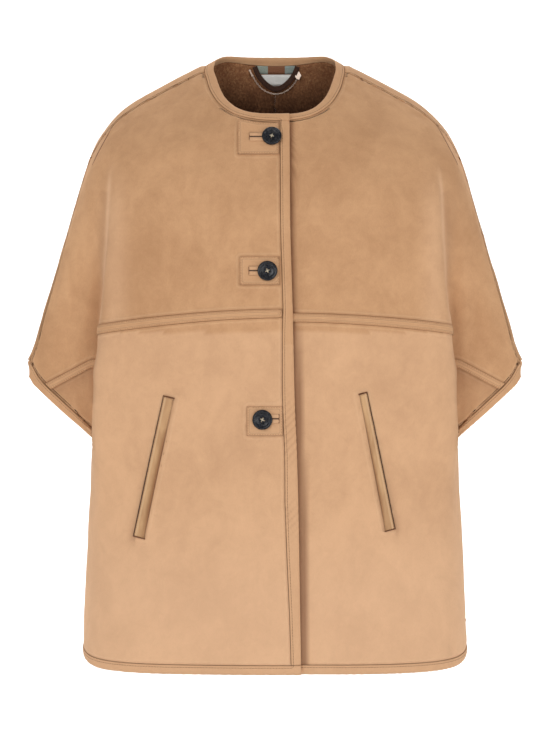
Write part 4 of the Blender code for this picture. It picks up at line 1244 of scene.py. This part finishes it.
for side, edge in POCKET_EDGES.items():
    outwards = -1 if side == "right" else 1
    names = (f"{side}_front_skirt",)
    route = [(x + outwards * 0.7, z) for x, z in edge]
    mouth = lay(f"{side}_pocket_mouth", bar(40), route, 0.7, 0.7, names, 0.3, taper=0.6)
    dress(mouth, (SHADOW,), "welt")
    names += (f"{side}_pocket_welt",)
    for end, share, (x, z) in zip(("top", "bottom"), WELT_SHARE[side], edge):
        inner_x = x - outwards * (WELT_WIDTHS[side] * share + 0.6)
        route = [(x + outwards * 0.9, z + 0.4), (inner_x, z - 3.2 * share)]
        tack = lay(f"{side}_pocket_{end}_bar", bar(10), route, 0.8, 1.0, names, 0.4)
        dress(tack, (DARK_THREAD,), "welt")
print("pocket mouths:", list(POCKET_EDGES))

# %% [markdown]
# ## The overarm's pressed edge
# On the upper sleeve the overarm seam is pressed to one side and stitched down, so a second line parts
# from the seam and runs in beside it. It is one thin bar laid on both yokes, because separate
# stitches would be too small to tell apart here.

# %% Overarm stitching
for outwards, side in ((-1, "right"), (1, "left")):
    route = [(outwards * x, z) for x, z in PRESSED_EDGE[-4:-1]]
    names = (f"{side}_front_yoke", f"{side}_back_yoke")
    pressed = lay(f"{side}_overarm_stitching", bar(60), route, 0.36, 0.22, names, 0.05, taper=0.8)
    dress(pressed, (DARK_THREAD,), "suede_edge")
print("overarm edges stitched:", 2)

# %% [markdown]
# ## Where a stitch row runs
# A row of stitches runs in the pressed line beside each seam. Drawing the rows by hand would never
# follow the cloth. A row is where the distance to the seam has one value, so it is found on the
# mesh itself: the crossed edges of each face are joined into chains.


# %% Stitch rows
def level_lines(made, values, level, skin=None):
    """Where the values cross a level on the piece, as chains of points and directions outward."""
    mesh = made.data
    ends = np.empty(len(mesh.edges) * 2, np.int32)
    mesh.edges.foreach_get("vertices", ends)
    ends = ends.reshape(-1, 2)
    first, second = values[ends[:, 0]], values[ends[:, 1]]
    crossed = (first < level) != (second < level)
    share = (level - first) / np.where(crossed, second - first, 1)
    points, normals = points_of(mesh), vertex_normals(mesh)
    spots = points[ends[:, 0]] + share[:, None] * (points[ends[:, 1]] - points[ends[:, 0]])
    ways = normals[ends[:, 0]] + normals[ends[:, 1]]
    links = {}
    for face in mesh.polygons:
        if skin is None or face.material_index == skin:
            pair = [mesh.loops[i].edge_index for i in face.loop_indices if crossed[mesh.loops[i].edge_index]]
            if len(pair) == 2:
                links.setdefault(pair[0], []).append(pair[1])
                links.setdefault(pair[1], []).append(pair[0])
    chains, seen = [], set()
    for start in sorted(links, key=lambda edge: len(links[edge])):
        if start not in seen:
            chain, here = [], start
            while here is not None:
                seen.add(here)
                chain.append(here)
                here = next((edge for edge in links[here] if edge not in seen), None)
            chains.append((spots[chain], ways[chain]))
    return chains


def long_enough(chains, least=12 * MM):
    return [chain for chain in chains if np.linalg.norm(np.diff(chain[0], axis=0), axis=1).sum() > least]


def rims(made):
    values = np.empty(len(made.data.vertices), np.float32)
    made.data.attributes["rim"].data.foreach_get("value", values)
    return values


hem_rows = long_enough(level_lines(CLOTH["hem_binding"], rims(CLOTH["hem_binding"]), STITCH_LINE))
print("rows on the hem binding:", len(hem_rows))

# %% [markdown]
# ## Stitching
# There are thousands of stitches, so each has only a few faces: an operator makes one small flattened
# sphere, and copies of it are turned along the row and joined in one mesh for each piece. Single
# objects would be slow, and a bump can't stand up from the cloth as thread does.


# %% Stitches
def one_stitch(size):
    """The vertices and faces of a flattened sphere, with its half sizes in mm."""
    template = bmesh.new()
    upright = Matrix.Rotation(math.pi / 2, 4, "Y")
    bmesh.ops.create_uvsphere(template, u_segments=6, v_segments=4, radius=1.0, matrix=upright)
    template.verts.index_update()
    shape = np.array([vert.co[:] for vert in template.verts]) * size * MM
    faces = [[vert.index for vert in face.verts] for face in template.faces]
    template.free()
    return shape, faces


def spot_at(place, far, rows):
    """The value of the rows of numbers at a place along a chain."""
    return Vector([np.interp(place, far, rows[:, i]) for i in range(3)])


def sew(name, chains, slot, pitch, size):
    """One object of all the stitches along the chains, with pitch and half sizes in mm."""
    shape, faces = one_stitch(size)
    placed, all_faces = [], []
    for spots, ways in chains:
        steps = np.linalg.norm(np.diff(spots, axis=0), axis=1)
        far = np.concatenate([[0], np.cumsum(steps)])
        for place in np.arange(pitch / 2, far[-1] / MM - pitch / 2, pitch) * MM:
            start, end = spot_at(place - size[0] * MM, far, spots), spot_at(place + size[0] * MM, far, spots)
            tangent = (end - start).normalized()
            up = spot_at(place, far, ways).normalized()
            side = up.cross(tangent).normalized()
            turn = np.array([tangent, side, tangent.cross(side)])
            all_faces += [[index + len(placed) * len(shape) for index in face] for face in faces]
            placed.append(shape @ turn + np.array(spot_at(place, far, spots) + up * 0.08 * MM))
    data = bpy.data.meshes.new(name)
    data.from_pydata(np.concatenate(placed), [], all_faces)
    data.shade_smooth()
    made = bpy.data.objects.new(name, data)
    bpy.context.scene.collection.objects.link(made)
    dress(made, (THREAD,), slot)
    return len(placed)


# pieces, how far in from the edge, skin, slot, then pitch and half sizes in mm
STITCH_ROWS = (
    (BINDINGS, STITCH_LINE, None, "suede_edge", 3.6, (1.2, 0.3, 0.22)),
    (TAPES + PATCHES, 1.6 * MM, 0, "suede_edge", 3.2, (1.05, 0.26, 0.2)),
    (WELTS, 1.3 * MM, 0, "welt", 3.0, (1.0, 0.22, 0.18)),
)
count = 0
for nodes, inset, skin, slot, pitch, size in STITCH_ROWS:
    for node in nodes:
        rows = long_enough(level_lines(CLOTH[node], rims(CLOTH[node]), inset, skin))
        count += sew(f"{node}_stitches", rows, slot, pitch, size)
print("stitches:", count)

# %% [markdown]
# ## Horn buttons
# A horn button is turned on a lathe, and spinning a profile is the same thing: the rim is raised and
# rounded, and the middle is dished. Four holes are then drilled through it by a Boolean, which leaves
# real edges in the holes, as a dark dot in the material would not.

# %% Turn the buttons
# radius and height in mm, from the middle of the back round the rim to the middle of the front
BUTTON_PROFILE = [
    (0, 0), (9.6, 0), (10.9, 0.5), (11.7, 1.5), (11.8, 2.6), (11.4, 3.9), (10.6, 4.6), (9.7, 4.7),
    (8.7, 4.2), (7.9, 3.3), (6.8, 2.9), (3.6, 2.75), (0, 2.7),
]
BUTTON_GROWTH = 1.055  # a little larger across than the solid


def round_profile(mesh, geometry, steps):
    """Spins the geometry all the way round the z axis."""
    bmesh.ops.spin(
        mesh, geom=geometry, axis=(0, 0, 1), cent=(0, 0, 0), steps=steps, angle=math.tau, use_merge=True
    )
    bmesh.ops.remove_doubles(mesh, verts=mesh.verts, dist=0.001 * MM)


def drill():
    """The four rods that cut a button's holes."""
    mesh = bmesh.new()
    hole, off_middle = 0.95 * MM, 2.5 * MM
    for quarter in range(4):
        turn = math.tau * (quarter + 0.5) / 4
        at = Matrix.Translation((math.cos(turn) * off_middle, math.sin(turn) * off_middle, 0))
        bmesh.ops.create_cone(
            mesh, cap_ends=True, segments=16, radius1=hole, radius2=hole, depth=20 * MM, matrix=at
        )
    return object_from("drill", mesh, smooth=False)


def turned_button(name, place):
    mesh = bmesh.new()
    verts = [mesh.verts.new((r * BUTTON_GROWTH * MM, 0, h * MM)) for r, h in BUTTON_PROFILE]
    edges = [mesh.edges.new(pair) for pair in zip(verts, verts[1:])]
    round_profile(mesh, verts + edges, 72)
    bmesh.ops.recalc_face_normals(mesh, faces=mesh.faces)
    button, cutter = object_from(name, mesh, smooth=False), drill()
    holes = button.modifiers.new("holes", "BOOLEAN")
    holes.operation, holes.solver, holes.object = "DIFFERENCE", "EXACT", cutter
    settle_modifiers(button)
    bpy.data.objects.remove(cutter)
    button.data.transform(place)
    return button


print("button:", round(2 * BUTTON_GROWTH * max(r for r, h in BUTTON_PROFILE), 1), "mm across")

# %% [markdown]
# Thread crosses between the holes in two bundles of three strands. A strand is too short to need a
# curve, so each is a long flattened sphere. A button lies where its solid does, so its place is the
# solid's middle and flattest direction.


# %% Sew the buttons on
def plane_of(node):
    """The middle of a flat node, and its direction out of the front."""
    points = points_of(NODES[node].data)
    middle = (points.min(axis=0) + points.max(axis=0)) / 2
    way = np.linalg.svd(points - points.mean(axis=0))[2][2]
    return Vector(middle), Vector(way if way[1] < 0 else -way)


def thread_cross(name, place):
    """Two crossed bundles of thread through the four holes, three strands in each."""
    mesh = bmesh.new()
    for turn, rise in ((math.tau / 8, 0.2), (3 * math.tau / 8, 0.55)):
        for strand in (-1, 0, 1):
            up = 2.75 + rise + 0.1 * (strand == 0)
            at = Matrix.Rotation(turn, 4, "Z") @ Matrix.Translation((0, strand * 0.42 * MM, up * MM))
            shape = Matrix.Diagonal((2.9 * MM, 0.3 * MM, 0.5 * MM, 1))
            bmesh.ops.create_uvsphere(mesh, u_segments=12, v_segments=8, radius=1.0, matrix=at @ shape)
    return object_from(name, mesh, place)


BUTTONS = ("top_button", "middle_button", "bottom_button")
for number, node in enumerate(BUTTONS):
    middle, way = plane_of(node)
    facing = way.to_track_quat("Z", "X").to_matrix().to_4x4()
    spin = Matrix.Rotation(0.5 + 0.7 * number, 4, "Z")
    place = Matrix.Translation(middle - way * 2.3 * MM) @ facing @ spin
    dress(turned_button(f"{node}_horn", place), (HORN,), "horn", node)
    dress(thread_cross(f"{node}_thread", place), (PALE_THREAD,), "horn")
print("buttons:", len(BUTTONS))

# %% [markdown]
# ## Inside the back neck
# A ribbon lies along the back neck, a bare label hangs from it, and a braided loop crosses both. They
# keep the packed shapes, made finer. The label narrows towards its lower edge.

# %% Label, ribbon and loop
LABEL_NARROWS = 0.42  # the share of its width that the label loses by its lower edge


def narrowed(points):
    """The label's points, drawn in towards its middle further down."""
    moved = points.copy()
    middle = points[:, 0].mean()
    share = 1 - LABEL_NARROWS * smooth(points[:, 2], 13 * MM, 2.4 * MM)
    moved[:, 0] = middle + (points[:, 0] - middle) * share
    return moved


for node, material, slot in zip(NECK_TRIMS, (LABEL, RIBBON, BRAID), ("label", "ribbon", "loop")):
    made = make_cloth(node, 2)
    if node == "label":
        set_points(made.data, narrowed(points_of(made.data)))
    keep(made, "rim", distances(points_of(made.data), tree_of(edge_points(made, 1))))
    dress(made, (material,) * 3, slot, node)
    TREES[node] = tree_for_rays(made)
print("neck trims:", NECK_TRIMS)

# %% [markdown]
# ## The chain's route
# A fine chain hangs in a curve below the loop, from a small bar to a star. Its curve is known as seen
# from the front. A simulation might settle it elsewhere, so a ray finds how far back the cloth
# behind each point lies, and the chain runs just in front of it.

# %% Chain route
CHAIN_CURVE = [
    (-31.5, 18.5), (-27.6, 10.9), (-23.4, 4.6), (-17.8, -1.0), (-10.8, -5.3), (-3.7, -7.4),
    (1.9, -7.7), (8.9, -6.7), (16.0, -3.6), (23.0, 2.0), (27.6, 8.1), (29.8, 12.6),
]
BEHIND = ("right_back_yoke", "left_back_yoke", *NECK_TRIMS)
CHAIN_OFF_CLOTH = 1.7  # how far in front of the cloth the chain's middle runs, in mm
CHAIN_ROUTE = []
for share in np.linspace(0, 1, 25):
    (x, z), _ = spot_on(CHAIN_CURVE, share)
    depth = min(hits(x + aside, z, BEHIND)[0].y for aside in (-1.2, 0, 1.2))
    CHAIN_ROUTE.append((x, depth / MM - CHAIN_OFF_CLOTH, z))
print("chain route:", len(CHAIN_ROUTE), "points")

# %% [markdown]
# ## The chain's links
# Links are ovals, each turned a quarter from the one before. An array along a curve would stretch
# them, so copies of one link are set at equal steps along the route. The link is a small ring spun
# round and then drawn out.

# %% Links
LINK_PITCH, LINK_LENGTH, LINK_WIDTH, LINK_WIRE = 2.3 * MM, 3.5 * MM, 2.3 * MM, 0.75 * MM


def oval_link():
    """A closed oval link, as a mesh."""
    mesh = bmesh.new()
    at = Matrix.Translation(((LINK_WIDTH - LINK_WIRE) / 2, 0, 0)) @ Matrix.Rotation(math.pi / 2, 4, "X")
    ring = bmesh.ops.create_circle(mesh, segments=6, radius=LINK_WIRE / 2, matrix=at)
    edges = list({edge for vert in ring["verts"] for edge in vert.link_edges})
    round_profile(mesh, ring["verts"] + edges, 14)
    drawn_out = (LINK_LENGTH - LINK_WIDTH) / 2
    for vert in mesh.verts:
        vert.co.x += math.copysign(drawn_out, vert.co.x) if abs(vert.co.x) > 1e-7 else 0
    bmesh.ops.recalc_face_normals(mesh, faces=mesh.faces)
    link = bpy.data.meshes.new("link")
    mesh.to_mesh(link)
    mesh.free()
    return link


def linked_chain(name, route):
    """The chain along the route, how many links it has, and its length."""
    route = np.array(route) * MM
    far = np.concatenate([[0], np.cumsum(np.linalg.norm(np.diff(route, axis=0), axis=1))])
    count = round(far[-1] / LINK_PITCH)
    link = oval_link()
    mesh = bmesh.new()
    for number in range(count):
        place = (number + 0.5) / count * far[-1]
        before, middle, after = (spot_at(spot, far, route) for spot in (place - MM, place, place + MM))
        tangent = (after - before).normalized()
        turned = tangent.to_track_quat("X", "Z").to_matrix().to_4x4()
        roll = Matrix.Rotation(math.pi / 2 * (number % 2) + 0.5, 4, "X")
        copy = link.copy()
        copy.transform(Matrix.Translation(middle) @ turned @ roll)
        mesh.from_mesh(copy)
        bpy.data.meshes.remove(copy)
    return object_from(name, mesh), count, float(far[-1])


chain, links, chain_length = linked_chain("neck_chain", CHAIN_ROUTE)
dress(chain, (METAL,), "metal", "chain")
print("chain:", links, "links,", round(chain_length * 1000, 1), "mm")

# %% [markdown]
# ## The chain's ends
# A cast star hangs at one end and a short bar with a ball at each end closes the other. The star is a
# circle of ten points with every second one drawn in, extruded and bevelled, which gives the eased
# edges of a casting.


# %% Star and bar
def star_fitting(name, place):
    """A small five-pointed star, cut from plate and eased at its edges."""
    mesh = bmesh.new()
    ring = bmesh.ops.create_circle(mesh, cap_ends=True, segments=10, radius=5.6 * MM)["verts"]
    for vert in ring:
        number = round(math.atan2(vert.co.y, vert.co.x) / (math.tau / 10))
        if number % 2:
            vert.co *= 0.48
    made = bmesh.ops.extrude_face_region(mesh, geom=mesh.faces[:])
    upper = [part for part in made["geom"] if isinstance(part, bmesh.types.BMVert)]
    bmesh.ops.translate(mesh, vec=(0, 0, 1.0 * MM), verts=upper)
    bmesh.ops.bevel(
        mesh, geom=mesh.edges[:], offset=0.18 * MM, segments=2, profile=0.5, affect="EDGES", material=-1
    )
    bmesh.ops.recalc_face_normals(mesh, faces=mesh.faces)
    return object_from(name, mesh, place, smooth=False)


def bar_fitting(name, place):
    """A short bar with a ball at each end."""
    mesh = bmesh.new()
    rod = 1.1 * MM
    bmesh.ops.create_cone(mesh, cap_ends=True, segments=16, radius1=rod, radius2=rod, depth=8 * MM)
    for end in (-3.8, 3.8):
        at = Matrix.Translation((0, 0, end * MM))
        bmesh.ops.create_uvsphere(mesh, u_segments=16, v_segments=10, radius=1.7 * MM, matrix=at)
    return object_from(name, mesh, place)


def beyond(end, shift):
    """The place that far from an end of the route, in mm."""
    return Matrix.Translation((Vector(end) + Vector(shift)) * MM)


star_place = beyond(CHAIN_ROUTE[-1], (2.4, -3.4, 2.4)) @ Matrix.Rotation(math.radians(98), 4, "X")
star = star_fitting("chain_star_charm", star_place)
dress(star, (METAL,), "metal", "chain_star")
toggle_place = beyond(CHAIN_ROUTE[0], (-0.4, -1.0, -0.5)) @ Matrix.Rotation(-0.45, 4, "Y")
toggle = bar_fitting("chain_bar_end", toggle_place)
dress(toggle, (METAL,), "metal", "chain_bar")
print("chain ends:", star.name, toggle.name)

# %% [markdown]
# The chain's first point and its route, in metres.

[c * MM for c in CHAIN_ROUTE[0]]
[[c * MM for c in point] for point in CHAIN_ROUTE]
print("cord:", chain.name)

# %% [markdown]

# %% [markdown]
# ## Stage
# A floor that curves up into a wall gives an even, pale ground with no corner in it. It is the profile
# of the sweep, extruded sideways, and it isn't part of the coat.

# %% Sweep
FLOOR_Z, FLOOR_FRONT, CURVE_Y, CURVE_RADIUS, WALL_TOP, HALF_WIDTH = -1.02, -6.0, 4.4, 1.2, 6.0, 8.0


def sweep():
    """The floor and wall in one sheet."""
    mesh = bmesh.new()
    line = [(FLOOR_FRONT, FLOOR_Z), (CURVE_Y, FLOOR_Z)]
    for turn in np.linspace(0.1, math.pi / 2, 12):
        back, up = CURVE_RADIUS * math.sin(turn), CURVE_RADIUS * (1 - math.cos(turn))
        line.append((CURVE_Y + back, FLOOR_Z + up))
    line.append((CURVE_Y + CURVE_RADIUS, WALL_TOP))
    verts = [mesh.verts.new((-HALF_WIDTH, y, z)) for y, z in line]
    edges = [mesh.edges.new(pair) for pair in zip(verts, verts[1:])]
    made = bmesh.ops.extrude_edge_only(mesh, edges=edges)
    far_side = [part for part in made["geom"] if isinstance(part, bmesh.types.BMVert)]
    bmesh.ops.translate(mesh, vec=(2 * HALF_WIDTH, 0, 0), verts=far_side)
    bmesh.ops.recalc_face_normals(mesh, faces=mesh.faces)
    floor = object_from("sweep", mesh)
    look = Look("pale_floor")
    colour = look.mix(0.5 + look.noise(3.0) * 0.02, tone(250, 250, 250), tone(252, 252, 252))
    floor.data.materials.append(look.finish(colour, 0.9))


sweep()
print("sweep:", 2 * HALF_WIDTH, "m wide")

# %% [markdown]
# ## Light
# The coat is lit flat and even: a key and a fill from the front, a tall light from each side, and one
# over the wall that keeps the ground white. The left and right ones differ a little, which keeps some
# form in the cloth.

# %% Lights
# name: place, target, width, height in m, and power in W
LIGHTS = {
    "key": ((-1.4, -3.1, 0.9), (0, 0, -0.4), 1.5, 1.5, 31.5),
    "fill": ((1.3, -3.3, -0.35), (0, 0, -0.35), 2.0, 2.0, 26.5),
    "left": ((3.0, -1.4, -0.2), (0, 0, -0.45), 1.4, 2.4, 21),
    "right": ((-3.0, -1.4, -0.2), (0, 0, -0.45), 1.4, 2.4, 14),
    "backdrop": ((0, 2.6, 3.4), (0, 4.6, -0.6), 6.0, 2.0, 300),
}
for name, (place, target, width, height, power) in LIGHTS.items():
    data = bpy.data.lights.new(name, "AREA")
    data.shape = "RECTANGLE"
    data.size, data.size_y, data.energy = width, height, power
    light = bpy.data.objects.new(name, data)
    light.location = place
    light.rotation_euler = (Vector(target) - Vector(place)).to_track_quat("-Z", "Y").to_euler()
    bpy.context.scene.collection.objects.link(light)

world = bpy.data.worlds.new("studio")
world.use_nodes = True
ambient = world.node_tree.nodes["Background"]
ambient.inputs["Color"].default_value = (1, 1, 1, 1)
ambient.inputs["Strength"].default_value = 0.38
bpy.context.scene.world = world
bpy.context.scene.view_settings.view_transform = "Standard"
print("lights:", {name: row[-1] for name, row in LIGHTS.items()}, "W")

# %% [markdown]
# ## Camera
# The camera stands level with the coat's middle, straight in front of it. Its lens follows from two
# real sizes: how far away it stands, and how much of the coat's plane the frame takes in.

# %% Camera
CAMERA_FAR, FRAME_TALL, CAMERA_UP = 2.75, 0.9529, -0.37245

lens = bpy.data.cameras.new("camera")
lens.sensor_fit = "VERTICAL"
lens.sensor_height = 36.0
lens.lens = lens.sensor_height * CAMERA_FAR / FRAME_TALL
camera = bpy.data.objects.new("camera", lens)
camera.location = (0, -CAMERA_FAR, CAMERA_UP)
camera.rotation_euler = (math.pi / 2, 0, 0)
bpy.context.scene.collection.objects.link(camera)
bpy.context.scene.camera = camera
print("lens:", round(lens.lens, 1), "mm")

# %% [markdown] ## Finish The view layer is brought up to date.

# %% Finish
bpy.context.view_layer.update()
